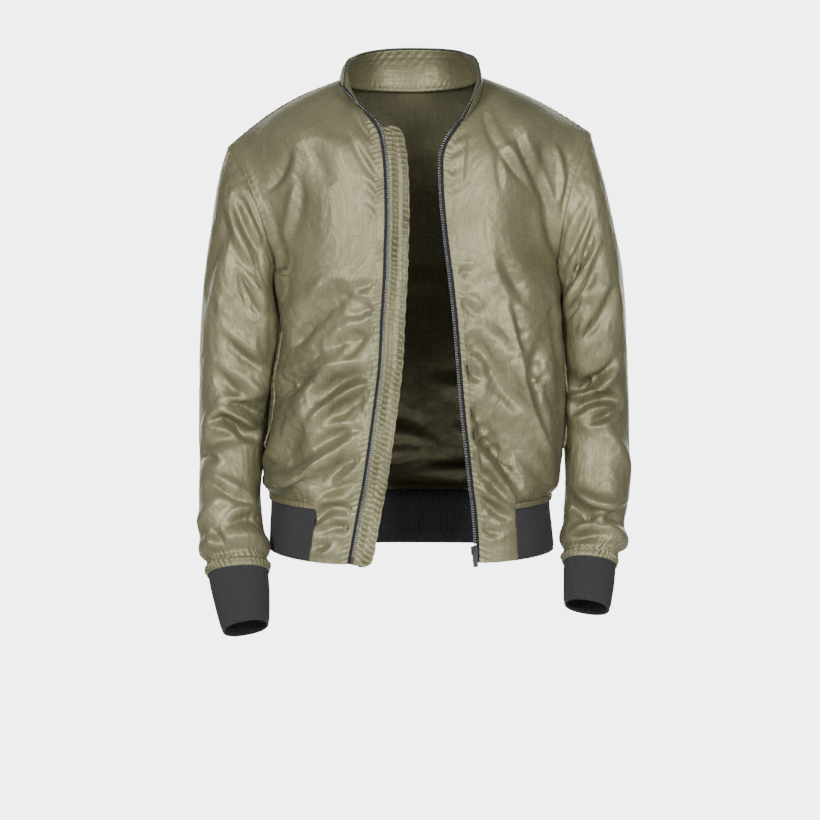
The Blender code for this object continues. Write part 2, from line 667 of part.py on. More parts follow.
def shell_sheets():
    places = row_places()
    front_across = np.linspace(0, 1, FRONT_CELLS + 1)
    back_across = np.linspace(0, 1, BACK_CELLS + 1)
    armhole_places = places[HEM_ROWS + SIDE_ROWS : HEM_ROWS + SIDE_ROWS + ARMHOLE_ROWS + 1]
    sheets, fronts = [], {}
    for side, tag in ((RIGHT, "right"), (LEFT, "left")):
        grid = front_grid(side, places, front_across)
        under_rib = np.zeros((len(places) - 1, FRONT_CELLS), bool)
        under_rib[:HEM_ROWS, TAB_CELLS:] = True
        fronts[side] = grid
        sheets.append(Sheet(f"front_{tag}", grid, "nylon", side > 0, skip=under_rib))
    back = back_grid(places, back_across)
    sheets.append(Sheet("back", back[HEM_ROWS:], "nylon"))
    for side, tag in ((RIGHT, "right"), (LEFT, "left")):
        steps = np.linspace(0, len(SLEEVES[side]), SLEEVE_CELLS + 1)
        sleeve = sleeve_grid(side, armhole_places, steps)
        sheets.append(Sheet(f"sleeve_{tag}", sleeve, "nylon", side > 0, True))
    return sheets, fronts, back, armhole_places


def rib_sheet(fronts, back):
    """The hem rib, from the end of one front tab round the back to the other."""
    right = fronts[RIGHT][: HEM_ROWS + 1, TAB_CELLS:]
    left = fronts[LEFT][: HEM_ROWS + 1, TAB_CELLS:][:, ::-1]
    grid = np.concatenate([right, back[: HEM_ROWS + 1, 1:-1], left], axis=1)
    return Sheet("hem_rib", grid, "rib_knit", wall=RIB_WALL)


def collar_sheets(fronts, back):
    """The collar and its facing, from the right front corner round the back to the left."""
    base = np.concatenate([fronts[RIGHT][-1], back[-1, 1:-1], fronts[LEFT][-1][::-1]])
    half = len(base) // 2
    shares = np.linspace(0, 1, half + 1)
    top = np.concatenate([collar_top(RIGHT, shares), collar_top(LEFT, shares[:-1])[::-1]])
    rise = np.linspace(0, 1, COLLAR_CELLS + 1)[:, None, None]
    grid = base[None] * (1 - rise) + top[None] * rise
    outward = grid_normals(grid)
    ends = np.minimum(np.arange(len(base)), np.arange(len(base))[::-1]) / 6.0
    bow = COLLAR_BOW * np.clip(ends - 0.3, 0, 1)[None, :, None]
    grid = grid + outward * bow * np.sin(math.pi * rise)
    outer = Sheet("collar", grid, "nylon", wall=COLLAR_WALL)
    rise = np.linspace(FACING_START, 1, COLLAR_CELLS + 1)[:, None, None]
    lining = base[None] * (1 - rise) + top[None] * rise
    deep = COLLAR_WALL * np.where(rise < 0.2, 1.5, 1.05) + STACK_GAP
    lining = lining + outward * bow * np.sin(math.pi * rise) - outward * deep
    facing = Sheet("collar_facing", lining, "nylon", wall=COLLAR_WALL)
    return outer, facing, grid, outward


def zip_frames(side, front, collar):
    """(point, across to the opening, outward, along) up the whole front edge."""
    collar_edge = collar[:, 0] if side == RIGHT else collar[:, -1]
    collar_next = collar[:, 1] if side == RIGHT else collar[:, -2]
    points = np.concatenate([front[:, 0], collar_edge[1:]])
    inner = np.concatenate([front[:, 1], collar_next[1:]])
    along = unit(np.gradient(points, axis=0))
    across = points - inner
    across = unit(across - along * (across * along).sum(1, keepdims=True))
    out = np.cross(along, across) * side
    return points, across, out, along


def zip_strip(name, frames, reach, height, finish):
    """A flat strip beside the front edge: reach is how far across, height how far out."""
    points, across, out, _ = frames
    corners = [(reach[0], height[0]), (reach[1], height[0]), (reach[1], height[1]), (reach[0], height[1])]
    outlines = [points + across * np.reshape(a, (-1, 1)) + out * h for a, h in corners]
    return strip_solid(name, np.stack(outlines, axis=1), finish)


def along_edge(frames, distances):
    """The frames read at distances up the front edge."""
    far = np.concatenate([[0], np.cumsum(np.linalg.norm(np.diff(frames[0], axis=0), axis=1))])
    return [np.stack([np.interp(distances, far, v[:, k]) for k in range(3)], axis=1) for v in frames], far


def frames_from(frames, start):
    """The frames from a distance up the front edge."""
    _, far = along_edge(frames, [0])
    return along_edge(frames, np.concatenate([[start], far[far > start + 0.003]]))[0]


def zip_guard(frames, places):
    """The wide stitched strip behind the right zip, with rounded corners."""
    top = int(np.searchsorted(places, GUARD_TOP_ROW)) + 1
    straight = int(np.searchsorted(places, GUARD_STRAIGHT_ROW))
    frames = [v[:top].copy() for v in frames]
    frames[1][straight:], frames[2][straight:] = frames[1][straight], frames[2][straight]
    _, far = along_edge(frames, [0])
    corner = np.array([.25, 1]) * GUARD_ROUND
    stations = np.unique(np.concatenate([far, corner, far[-1] - corner]))
    (points, across, out, _), _ = along_edge(frames, stations)
    inset = np.clip(GUARD_ROUND - np.minimum(stations, far[-1] - stations), 0, None)
    reach = GUARD_SHOWS - GUARD_ROUND + np.sqrt(GUARD_ROUND**2 - inset**2)
    turned = np.clip((stations - far[straight]) / (far[-1] - far[straight]), 0, 1)
    level = -(SHELL_WALL + TAPE_WALL / 2 + CHAIN_WALL / 2 + 3 * STACK_GAP + GUARD_TOP_BACK * turned)
    near = GUARD_TOP_REACH * turned - GUARD_UNDER
    pairs = [(near, level), (reach, level), (reach, level - GUARD_WALL), (near, level - GUARD_WALL)]
    outlines = [points + across * np.reshape(a, (-1, 1)) + out * np.reshape(h, (-1, 1)) for a, h in pairs]
    return strip_solid("zip_guard", np.stack(outlines, axis=1), "nylon")


def along_zip(frames, distance):
    """(middle, across, out, along) on the teeth's line, a distance up from the bottom."""
    (point, across, out, along), _ = along_edge(frames, [distance])
    level = -(SHELL_WALL + STACK_GAP) - TAPE_WALL / 2
    along = unit(along[0])
    across = unit(across[0] - along * (across[0] @ along))
    out = unit(out[0] - along * (out[0] @ along) - across * (out[0] @ across))
    return point[0] + across * CHAIN_MIDDLE + out * level, across, out, along


def plate_solid(name, frame, outline, half_thick, finish):
    """A flat plate from an outline of (across, along) pairs. It can have one slot, whose outline
    is the second half of the pairs."""
    middle, across, out, along = frame
    count = len(outline) // 2
    sides = []
    for h in (half_thick, -half_thick):
        sides += [middle + across * a + along * t + out * h for a, t in outline]
    front, back = 0, len(outline)
    faces = []
    for i in range(count):
        j = (i + 1) % count
        faces += [
            [front + i, front + j, front + count + j, front + count + i],
            [back + j, back + i, back + count + i, back + count + j],
            [front + j, front + i, back + i, back + j],
            [front + count + i, front + count + j, back + count + j, back + count + i],
        ]
    return add_object(name, sides, faces, finish)


def zip_hardware(side, frames):
    """The pin on the right row; the box, the slider and its hanging pull on the left row."""
    if side == RIGHT:
        box_solid("zip_pin", along_zip(frames, ZIP_PIN[2] / 2), ZIP_PIN, "zip_metal", 0.0004)
        return
    box_solid("zip_box", along_zip(frames, ZIP_BOX[2] / 2), ZIP_BOX, "zip_metal", 0.0004)
    middle, across, out, along = along_zip(frames, SLIDER_AT)
    body = box_solid("zip_slider", (middle, across, out, along), SLIDER, "zip_metal", 0.0010)
    hinge = middle + out * (SLIDER[1] / 2 + HINGE_OUT) + along * HINGE_UP
    inside, outside, root = BRIDGE_SPAN / 2, BRIDGE_SPAN / 2 + BRIDGE_BAR, -HINGE_OUT - 0.001
    over, cap = HINGE_OUT, HINGE_OUT + BRIDGE_BAR
    arch = (
        (-outside, root), (-outside, cap), (outside, cap), (outside, root),
        (inside, root), (inside, over), (-inside, over), (-inside, root),
    )
    widths = (-BRIDGE_WIDE / 2, BRIDGE_WIDE / 2)
    points = [hinge + across * w + along * t + out * o for w in widths for t, o in arch]
    quads = [(0, 1, 6, 7), (1, 2, 5, 6), (2, 3, 4, 5)]
    faces = [list(q) for q in quads] + [[p + 8 for p in reversed(q)] for q in quads]
    faces += [[(i + 1) % 8, i, i + 8, (i + 1) % 8 + 8] for i in range(8)]
    bridge = add_object("bridge", points, faces, "zip_metal")
    join = body.modifiers.new("bridge", "BOOLEAN")
    join.operation, join.solver, join.object = "UNION", "EXACT", bridge
    bpy.context.view_layer.update()
    joined = bpy.data.meshes.new_from_object(body.evaluated_get(bpy.context.evaluated_depsgraph_get()))
    body.modifiers.clear()
    body.data = joined
    bpy.data.objects.remove(bridge)
    wide, slot = PULL[0] / 2, PULL_SLOT / 2
    top, slot_end, end = PULL_ABOVE_PIN, -PULL_ABOVE_PIN - PULL_SLOT_LONG, PULL_ABOVE_PIN - PULL[2]
    outline = (
        (-wide, top), (wide, top), (wide, end), (-wide, end),
        (-slot, -PULL_ABOVE_PIN), (slot, -PULL_ABOVE_PIN), (slot, slot_end), (-slot, slot_end),
    )
    plate_solid("zip_pull", (hinge, across, out, along), outline, PULL[1] / 2, "zip_metal")


def panel_patch(grid, row_places, rows, across):
    """Points between the panel's own, so that what lies on it follows its flat facets."""
    i = np.interp(rows, row_places, np.arange(len(row_places)))
    j = np.asarray(across) * (grid.shape[1] - 1)
    a, b = np.floor(i).astype(int), np.floor(j).astype(int)
    u, v = (i - a)[:, None, None], (j - b)[None, :, None]
    top = grid[a + 1][:, b] * (1 - v) + grid[a + 1][:, b + 1] * v
    low = grid[a][:, b] * (1 - v) + grid[a][:, b + 1] * v
    return low * (1 - u) + top * u


def pocket_welt(side, tag, front, places):
    """A narrow strip on the front panel along the pocket's mouth."""
    w = dict(zip(WELT_NAMES.split(), WELTS[side]))
    shares = np.linspace(0, 1, 12)
    outlines = []
    for share in shares:
        across = w["bottom_across"] + (w["top_across"] - w["bottom_across"]) * share
        row = w["bottom_row"] + (w["top_row"] - w["bottom_row"]) * share
        half = WELT_WIDTH / 2 / FRONT_WIDTH
        near = np.array([across - half - .01, across - half, across, across + half, across + half + .01])
        patch = panel_patch(front, places, [row - .05, row, row + .05], near)
        normals = grid_normals(patch, side > 0)[1, 1:4]
        line = patch[1, 1:4]
        low, high = STACK_GAP + WELT_LIFT, STACK_GAP + WELT_LIFT + WELT_WALL
        outlines.append(np.concatenate([line + normals * low, (line + normals * high)[::-1]]))
    return strip_solid(f"pocket_welt_{tag}", outlines, "nylon")


def collar_piping(grid, outward):
    """The dark cord along the collar's top edge."""
    top = grid[-1] - outward[-1] * (COLLAR_WALL + STACK_GAP / 2)
    up = unit(grid[-1] - grid[-2])
    centre = top + up * (PIPING_RADIUS + 3 * STACK_GAP)
    along = unit(np.gradient(centre, axis=0))
    side_way = unit(np.cross(along, up))
    angles = np.linspace(0, 2 * math.pi, 6, endpoint=False)
    outlines = [
        [c + (s * math.cos(t) + u * math.sin(t)) * PIPING_RADIUS for t in angles]
        for c, s, u in zip(centre, side_way, up)
    ]
    return strip_solid("collar_piping", outlines, "piping")


def jacket():
    for name in COLOURS:
        material(name)
    sheets, fronts, back, armhole_places = shell_sheets()
    rib = rib_sheet(fronts, back)
    collar, facing, collar_grid, outward = collar_sheets(fronts, back)
    turns = np.concatenate(armhole_turns(armhole_places))
    cuff_steps = np.linspace(0, len(CUFFS[RIGHT]) - 1, CUFF_CELLS + 1)
    cuffs = [
        Sheet(f"cuff_{tag}", cuff_grid(side, turns, cuff_steps), "rib_knit", side > 0, True, wall=RIB_WALL)
        for side, tag in ((RIGHT, "right"), (LEFT, "left"))
    ]
    share_seam_normals(sheets + [rib, collar])
    for sheet in sheets + [rib, collar, facing] + cuffs:
        sheet.pull_back(COLLAR_SEAM_GAP if sheet is collar else SEAM_GAP / 2)
        sheet.solid()
    collar_piping(collar_grid, outward)
    places = row_places()
    tape_level = -(SHELL_WALL + STACK_GAP)
    chain_level = tape_level - TAPE_WALL / 2
    for side, tag in ((RIGHT, "right"), (LEFT, "left")):
        frames = zip_frames(side, fronts[side], collar_grid)
        _, far = along_edge(frames, [0])
        stops = TAPE_STARTS[side]
        stations = np.concatenate([stops, far[far > stops[-1] + 0.003]])
        narrow = far[int(np.searchsorted(places, TAPE_NARROWS_ROW))] - 1e-6
        under = np.where(stations < narrow, -TAPE_UNDER, TAPE_CLEAR)
        shows = np.where(stations < stops[-1] - 1e-6, TAPE_TUCKED, TAPE_SHOWS)
        tape_at = along_edge(frames, stations)[0]
        levels = (tape_level - TAPE_WALL, tape_level)
        zip_strip(f"zip_tape_{tag}", tape_at, (under, shows), levels, "zip_tape")
        reach = (TAPE_SHOWS + STACK_GAP, TAPE_SHOWS + STACK_GAP + CHAIN_WIDTH)
        height = (chain_level - CHAIN_WALL / 2, chain_level + CHAIN_WALL / 2)
        zip_strip(f"zip_chain_{tag}", frames_from(frames, CHAIN_FROM[side]), reach, height, "zip_metal")
        if side == RIGHT:
            zip_guard(frames, places)
        pocket_welt(side, tag, fronts[side], places)
        zip_hardware(side, frames)


def clear_scene():
    for thing in list(bpy.data.objects):
        bpy.data.objects.remove(thing)


clear_scene()
jacket()
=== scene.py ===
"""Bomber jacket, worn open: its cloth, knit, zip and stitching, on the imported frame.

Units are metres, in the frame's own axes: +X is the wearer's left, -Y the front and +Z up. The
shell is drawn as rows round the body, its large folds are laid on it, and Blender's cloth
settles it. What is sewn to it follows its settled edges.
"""

import math

import bpy
import numpy as np
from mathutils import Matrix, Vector


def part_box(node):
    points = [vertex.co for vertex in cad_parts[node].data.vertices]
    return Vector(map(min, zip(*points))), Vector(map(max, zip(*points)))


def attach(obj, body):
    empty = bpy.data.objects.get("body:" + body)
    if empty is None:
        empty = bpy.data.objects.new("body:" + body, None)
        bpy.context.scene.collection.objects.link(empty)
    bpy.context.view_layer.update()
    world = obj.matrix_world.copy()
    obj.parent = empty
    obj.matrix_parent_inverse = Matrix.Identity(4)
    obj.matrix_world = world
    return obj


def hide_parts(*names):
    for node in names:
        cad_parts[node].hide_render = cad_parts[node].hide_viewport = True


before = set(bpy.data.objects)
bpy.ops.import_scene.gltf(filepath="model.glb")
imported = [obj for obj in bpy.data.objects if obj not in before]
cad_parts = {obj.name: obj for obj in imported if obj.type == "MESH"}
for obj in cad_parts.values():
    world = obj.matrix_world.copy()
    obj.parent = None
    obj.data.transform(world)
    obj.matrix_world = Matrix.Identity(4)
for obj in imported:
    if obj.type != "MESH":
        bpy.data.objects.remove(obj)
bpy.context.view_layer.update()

# Cloth and seams
SHELL_WALL = 0.0020
STACK_GAP = 0.0003  # between the layers at the zip

FRONT_CELLS, TAB_CELLS = 11, 3

RIGHT, LEFT = -1, 1
SIDES = ((RIGHT, "right"), (LEFT, "left"))

# Rows of the body from the hem up. Each row runs from the front edge round to its side point, and
# the back's row runs from there to the centre back. *_r is the wearer's right and *_l the left;
# x is the distance from the centre. (out, back, up) is the row's direction at its side point.
ROW_NAMES = """edge_xr edge_xl edge_y edge_zr edge_zl start_back start_up
    side_xr side_xl side_y side_z out back up centre_y centre_z"""
ROWS = (
    (.079, .087, -.128, -.594, -.592, 0, 0, .1825, .187, 0, -.583, 0, 1, 0, .113, -.583),  # hem
    (.072, .086, -.129, -.558, -.558, 0, 0, .181, .184, 0, -.548, 0, 1, 0, .114, -.548),
    (.0655, .083, -.131, -.522, -.522, 0, 0, .181, .182, 0, -.512, 0, 1, 0, .117, -.512),  # rib seam
    (.061, .080, -.136, -.500, -.500, 0, 0, .1885, .1925, 0, -.492, 0, 1, 0, .131, -.492),
    (.0555, .076, -.139, -.465, -.465, 0, 0, .1865, .1935, 0, -.460, 0, 1, 0, .136, -.460),
    (.0465, .069, -.139, -.400, -.400, 0, 0, .178, .1925, .002, -.395, 0, 1, 0, .132, -.395),
    (.0395, .064, -.138, -.340, -.340, 0, 0, .167, .1915, .004, -.335, 0, 1, 0, .133, -.335),
    (.037, .0595, -.137, -.285, -.285, 0, 0, .161, .190, .006, -.283, 0, 1, 0, .140, -.283),
)
# Above the armpit the side point follows the armhole, by its angle from the shoulder tip, and
# then the shoulder seam, by its share of the way to the neck.
ARMHOLE_NAMES = "angle edge_xr edge_xl edge_y edge_zr edge_zl out back up centre_y centre_z"
ARMHOLE = (
    (180, .034, .0545, -.135, -.238, -.238, 0, 1, 0, .146, -.236),
    (145, .033, .050, -.134, -.203, -.203, .55, .83, 0, .148, -.200),
    (108, .032, .046, -.132, -.168, -.168, .80, .60, 0, .148, -.163),
    (72, .032, .043, -.129, -.133, -.133, .90, .42, -.10, .145, -.125),
    (36, .033, .042, -.126, -.103, -.108, .85, .45, -.28, .139, -.090),
    (0, .035, .042, -.122, -.080, -.086, .50, .80, -.25, .131, -.060),
)
SHOULDER_NAMES = """share edge_xr edge_xl edge_y edge_zr edge_zl start_back start_up
    out back up centre_y centre_z"""
SHOULDER = (
    (1 / 3, .0375, .0465, -.117, -.064, -.068, .10, .10, .10, 1, -.02, .120, -.033),
    (2 / 3, .0435, .056, -.110, -.046, -.053, .45, .35, 0, 1, 0, .106, -.006),
    (1, .060, .069, -.098, -.026, -.036, 1.67, 1.1, -.05, 1, .10, .088, .022),
)
ROW_FULLNESS = 0.60  # how square the body's rows are: 0.55 is an ellipse
HEM_SEAM, ARMPIT, SHOULDER_TIP, LAST_ROW = 2, 8, 13, 16  # places in the joined rows
FAIRING = 14  # rounds of smoothing above the armpit

# Armholes and shoulders, one row for each side
ARM_NAMES = "tip_x tip_z armpit_x armpit_z neck_x neck_z shoulder_crown"
ARMS = {
    RIGHT: (.236, -.058, .174, -.232, .090, .027, .012),
    LEFT: (.234, -.040, .190, -.235, .090, .031, .007),
}
ARMHOLE_MID_Y, ARMHOLE_DEPTH, ARMHOLE_SCOOP = 0.006, 0.068, 0.012
SHOULDER_Y = 0.010

# Sleeve rings below the armhole: the outer and inner points, seen from the front, then the
# ring's middle and half depth front to back, and how far its front is tipped up.
RING_NAMES = "outer_x outer_z inner_x inner_z mid_y depth tip_deg"
SLEEVES = {
    RIGHT: (
        (.2475, -.098, .1815, -.249, .004, .073, 0),
        (.2570, -.155, .1815, -.264, .002, .072, 0),
        (.2650, -.209, .1765, -.282, .000, .070, 0),
        (.2715, -.276, .1700, -.308, .000, .066, 0),
        (.2738, -.341, .1790, -.352, .003, .062, 2),
        (.2750, -.405, .1875, -.405, .004, .058, 8),
        (.2740, -.453, .1880, -.453, -.008, .056, 14),
        (.2730, -.501, .1930, -.501, -.025, .054, 18),
        (.2716, -.549, .1890, -.548, -.043, .051, 20),
        (.2674, -.576, .1840, -.574, -.053, .048, 20),
        (.2605, -.604, .1810, -.597, -.062, .041, 20),
    ),
    LEFT: (
        (.2450, -.080, .1985, -.251, .004, .073, 0),
        (.2570, -.125, .2010, -.268, .002, .072, 0),
        (.2700, -.186, .2015, -.288, .000, .070, 0),
        (.2790, -.251, .2020, -.314, .000, .066, 0),
        (.2835, -.345, .2015, -.354, .003, .062, 2),
        (.2855, -.401, .2015, -.401, .004, .058, 8),
        (.2845, -.455, .2015, -.455, -.008, .056, 14),
        (.2835, -.512, .1995, -.509, -.025, .054, 18),
        (.2755, -.548, .1970, -.545, -.041, .051, 20),
        (.2755, -.572, .1960, -.569, -.050, .047, 20),
        (.2650, -.5925, .1960, -.586, -.057, .040, 20),
    ),
}
CUFFS = {
    RIGHT: (
        (.2590, -.6085, .1820, -.6015, -.063, .0395, 20),
        (.2510, -.640, .1795, -.634, -.073, .0365, 20),
        (.2385, -.684, .1785, -.673, -.089, .0325, 22),
    ),
    LEFT: (
        (.2635, -.597, .1970, -.590, -.0575, .0385, 20),
        (.2600, -.625, .1965, -.619, -.067, .0355, 20),
        (.2545, -.6575, .1955, -.648, -.079, .0315, 22),
    ),
}
RING_SQUARENESS = 0.90  # below 1 a ring is fuller than an ellipse

# Collar: the top edge's front corner, side and centre back
COLLAR_CORNER = {RIGHT: (.0840, -.077, .0070), LEFT: (.0905, -.075, .0135)}
COLLAR_SIDE = {RIGHT: (.0735, .016, .058), LEFT: (.0735, .016, .062)}
COLLAR_BACK = (0, .080, .074)
COLLAR_BOW = 0.003

# Zip
TAPE_UNDER, TAPE_SHOWS, TAPE_WALL = 0.008, 0.0028, 0.0010
TAPE_CLEAR = 0.0008  # near the neck the tape lies beside the edge and not under it
TAPE_STARTS = {RIGHT: (0.0,), LEFT: (0.0, 0.0207, 0.0213)}
CHAIN_WALL = 0.0030
CHAIN_FROM = {RIGHT: 0.0108, LEFT: 0.0210}  # above the box and the slider
GUARD_UNDER, GUARD_SHOWS = 0.012, 0.031
GUARD_TOP_REACH, GUARD_TOP_BACK = 0.016, 0.0012
GUARD_ROUND = 0.012
GUARD_ROWS = (0.010, 0.0165, 0.023, 0.0285)  # of stitches, across from the edge
GUARD_PITCHES = (0.0066, 0.0078, 0.0071, 0.0064)  # of the puckers beside each row
GUARD_STRAIGHT_SHARE = 0.84  # above this the guard keeps straight on while the zip turns away

# Pocket welts, as places on the front panel: across (0 at the zip, 1 at the side seam) and row
WELT_NAMES = "bottom_across bottom_row top_across top_row"
WELTS = {RIGHT: (.825, 4.15, .765, 6.65), LEFT: (.865, 4.15, .86, 6.55)}
WELT_WIDTH = 0.013

ROW_PITCH = 0.045  # the usual distance between two rows of the tables
FRONT_WIDTH, BACK_WIDTH, SLEEVE_ROUND = 0.23, 0.46, 0.36
# Largest folds of the shell: piece, from (across, row), to (across, row), half width, height
FRONT_FOLDS = {
    RIGHT: (
        (.95, 3.6, .18, 5.2, .015, .007),
        (.90, 4.6, .25, 6.4, .017, -.006),
        (.80, 2.8, .35, 3.8, .013, .005),
        (.78, 8.4, .92, 10.4, .014, -.005),
    ),
    LEFT: (
        (.10, 6.6, .62, 4.4, .016, .006),
        (.12, 5.2, .62, 2.9, .015, -.006),
        (.66, 7.6, .90, 3.4, .014, .005),
        (.66, 12.2, .86, 9.6, .012, -.004),
    ),
}
BACK_FOLDS = (
    (.12, 7.2, .42, 3.6, .018, .006),
    (.88, 7.2, .60, 3.8, .018, .006),
    (.30, 3.2, .55, 3.8, .014, -.005),
)
SLEEVE_FOLDS = {  # across is the share of the way round from the shoulder, by the front
    RIGHT: (
        (.20, 1.2, .05, 4.0, .013, -.006),
        (.44, 5.2, .10, 6.6, .013, .007),
        (.45, 6.4, .02, 7.4, .012, -.007),
        (.30, 8.4, .02, 9.2, .012, .005),
        (.60, 5.6, .95, 6.6, .014, -.006),
    ),
    LEFT: (
        (.40, 2.4, .10, 4.2, .013, .006),
        (.45, 5.0, .08, 6.2, .013, -.007),
        (.42, 6.0, .04, 7.6, .013, .006),
        (.40, 8.6, .06, 9.4, .012, -.005),
        (.60, 5.6, .95, 6.6, .014, -.006),
    ),
}


# ---------------------------------------------------------------- tables and curves


def table(names, rows):
    """A dict of columns from a short table."""
    return {name: np.array([row[i] for row in rows], float) for i, name in enumerate(names.split())}


def spline(knots, values, at):
    """Natural cubic spline through one row of values for each knot."""
    values = np.asarray(values, float)
    count, step = len(knots), np.diff(knots)
    system = np.eye(count)
    right = np.zeros_like(values)
    for i in range(1, count - 1):
        system[i, i - 1 : i + 2] = step[i - 1], 2 * (step[i - 1] + step[i]), step[i]
        right[i] = 6 * ((values[i + 1] - values[i]) / step[i] - (values[i] - values[i - 1]) / step[i - 1])
    bend = np.linalg.solve(system, right)
    i = np.clip(np.searchsorted(knots, at) - 1, 0, count - 2)
    h = step[i][:, None]
    a, b = (knots[i + 1] - at)[:, None], (at - knots[i])[:, None]
    return (
        (bend[i] * a**3 + bend[i + 1] * b**3) / (6 * h)
        + (values[i] / h - bend[i] * h / 6) * a
        + (values[i + 1] / h - bend[i + 1] * h / 6) * b
    )


def run_lengths(points):
    """Distance along a line of points, from its first."""
    return np.concatenate([[0], np.cumsum(np.linalg.norm(np.diff(points, axis=0), axis=1))])


def unit(vectors):
    return vectors / np.maximum(np.linalg.norm(vectors, axis=-1, keepdims=True), 1e-12)


def bezier_rows(start, start_way, end, end_way, across, fullness=ROW_FULLNESS):
    """A row of points for each start, spaced by arc length, leaving and arriving along its ways."""
    start_way, end_way, gap = unit(start_way), unit(end_way), end - start
    least = 0.3 * np.linalg.norm(gap, axis=1)
    reach_out = np.maximum((gap * start_way).sum(1), least)[:, None] * fullness
    reach_in = np.maximum((gap * end_way).sum(1), least)[:, None] * fullness
    fine = np.linspace(0, 1, 61)[None, :, None]
    corners = [start, start + start_way * reach_out, end - end_way * reach_in, end]
    weights = [(1 - fine) ** 3, 3 * fine * (1 - fine) ** 2, 3 * fine**2 * (1 - fine), fine**3]
    curve = sum(w * c[:, None] for w, c in zip(weights, corners))
    along = np.zeros(curve.shape[:2])
    along[:, 1:] = np.cumsum(np.linalg.norm(np.diff(curve, axis=1), axis=2), axis=1)
    rows = np.empty((len(start), len(across), 3))
    for i, far in enumerate(along):
        for k in range(3):
            rows[i, :, k] = np.interp(np.asarray(across) * far[-1], far, curve[i, :, k])
    return rows


# ---------------------------------------------------------------- the shell's form


def arm(side):
    return dict(zip(ARM_NAMES.split(), ARMS[side]))


def armhole(side, degrees, front):
    """Points of the armhole, by angle from the shoulder tip (0) to the armpit (180)."""
    a, angle = arm(side), np.radians(np.asarray(degrees, float))
    share = (1 - np.cos(angle)) / 2
    scoop = ARMHOLE_SCOOP * (1 if front else 0.5) * np.sin(angle) ** 2
    x = a["tip_x"] + (a["armpit_x"] - a["tip_x"]) * share - scoop
    y = ARMHOLE_MID_Y - ARMHOLE_DEPTH * np.sin(angle) * (1 if front else -1)
    z = a["tip_z"] + (a["armpit_z"] - a["tip_z"]) * share
    y = y + (SHOULDER_Y - ARMHOLE_MID_Y) * (1 - share)
    return np.stack([side * x, y, z], axis=-1)


def shoulder(side, share):
    """Points of the shoulder seam, from the tip (0) to the neck (1)."""
    a, share = arm(side), np.asarray(share, float)
    x = a["tip_x"] + (a["neck_x"] - a["tip_x"]) * share
    z = a["tip_z"] + (a["neck_z"] - a["tip_z"]) * share + a["shoulder_crown"] * np.sin(math.pi * share)
    return np.stack([side * x, np.full_like(x, SHOULDER_Y), z], axis=-1)


def body_rows(side):
    """Every row's front edge, its start way, its armhole angle or shoulder share, its end way
    in (out, back, up) and its centre back point, from the hem to the neck."""
    tag = "xr" if side == RIGHT else "xl"
    low, mid, top = table(ROW_NAMES, ROWS), table(ARMHOLE_NAMES, ARMHOLE), table(SHOULDER_NAMES, SHOULDER)
    for t in (low, mid, top):
        t["edge"] = np.stack([side * t["edge_" + tag], t["edge_y"], t["edge_z" + tag[1]]], axis=1)
        t["way"] = np.stack([side * t["out"], t["back"], t["up"]], axis=1)
        ones = np.ones(len(t["edge"]))
        start = side * ones, t.get("start_back", 0 * ones), t.get("start_up", 0 * ones)
        t["start"] = np.stack(start, axis=1)
        t["centre"] = np.stack([0 * ones, t["centre_y"], t["centre_z"]], axis=1)
    joined = {k: np.concatenate([t[k] for t in (low, mid, top)]) for k in ("edge", "way", "start", "centre")}
    joined["side"] = np.concatenate([
        np.stack([side * low["side_" + tag], low["side_y"], low["side_z"]], axis=1),
        np.zeros((len(mid["angle"]), 3)),
        np.zeros((len(top["share"]), 3)),
    ])
    joined["angle"] = mid["angle"]
    joined["share"] = np.concatenate([[0], top["share"]])
    return joined


def side_points(side, rows, places, front):
    """The side seam, the armhole and the shoulder seam as one line, at the rows' places."""
    seam = np.concatenate([rows["side"][:ARMPIT], armhole(side, [180], front)])
    points = spline(np.arange(ARMPIT + 1.0), seam, np.minimum(places, ARMPIT))
    turn = np.interp(places, np.arange(ARMPIT, SHOULDER_TIP + 1), rows["angle"])
    in_armhole = (places > ARMPIT) & (places <= SHOULDER_TIP)
    points[in_armhole] = armhole(side, turn[in_armhole], front)
    share = np.interp(places, np.arange(SHOULDER_TIP, SHOULDER_TIP + 4), rows["share"])
    over = places > SHOULDER_TIP
    points[over] = shoulder(side, share[over])
    return points


def fold_height(folds, across, places, widths):
    """The sum of soft ridges and troughs, each fading at its ends."""
    height = np.zeros((len(places), len(across)))
    u = np.asarray(across)[None, :]
    v = np.asarray(places)[:, None]
    for from_across, from_row, to_across, to_row, width, tall in folds:
        ax, ay = from_across * widths, from_row * ROW_PITCH
        bx, by = to_across * widths, to_row * ROW_PITCH
        px, py = u * widths, v * ROW_PITCH
        long = math.hypot(bx - ax, by - ay)
        along = ((px - ax) * (bx - ax) + (py - ay) * (by - ay)) / long**2
        off = ((px - ax) * (by - ay) - (py - ay) * (bx - ax)) / long
        fade = np.clip(np.minimum(along, 1 - along) * 3 + 0.35, 0, 1)
        height += tall * np.exp(-((off / width) ** 2)) * fade**2 * (3 - 2 * fade)
    return height


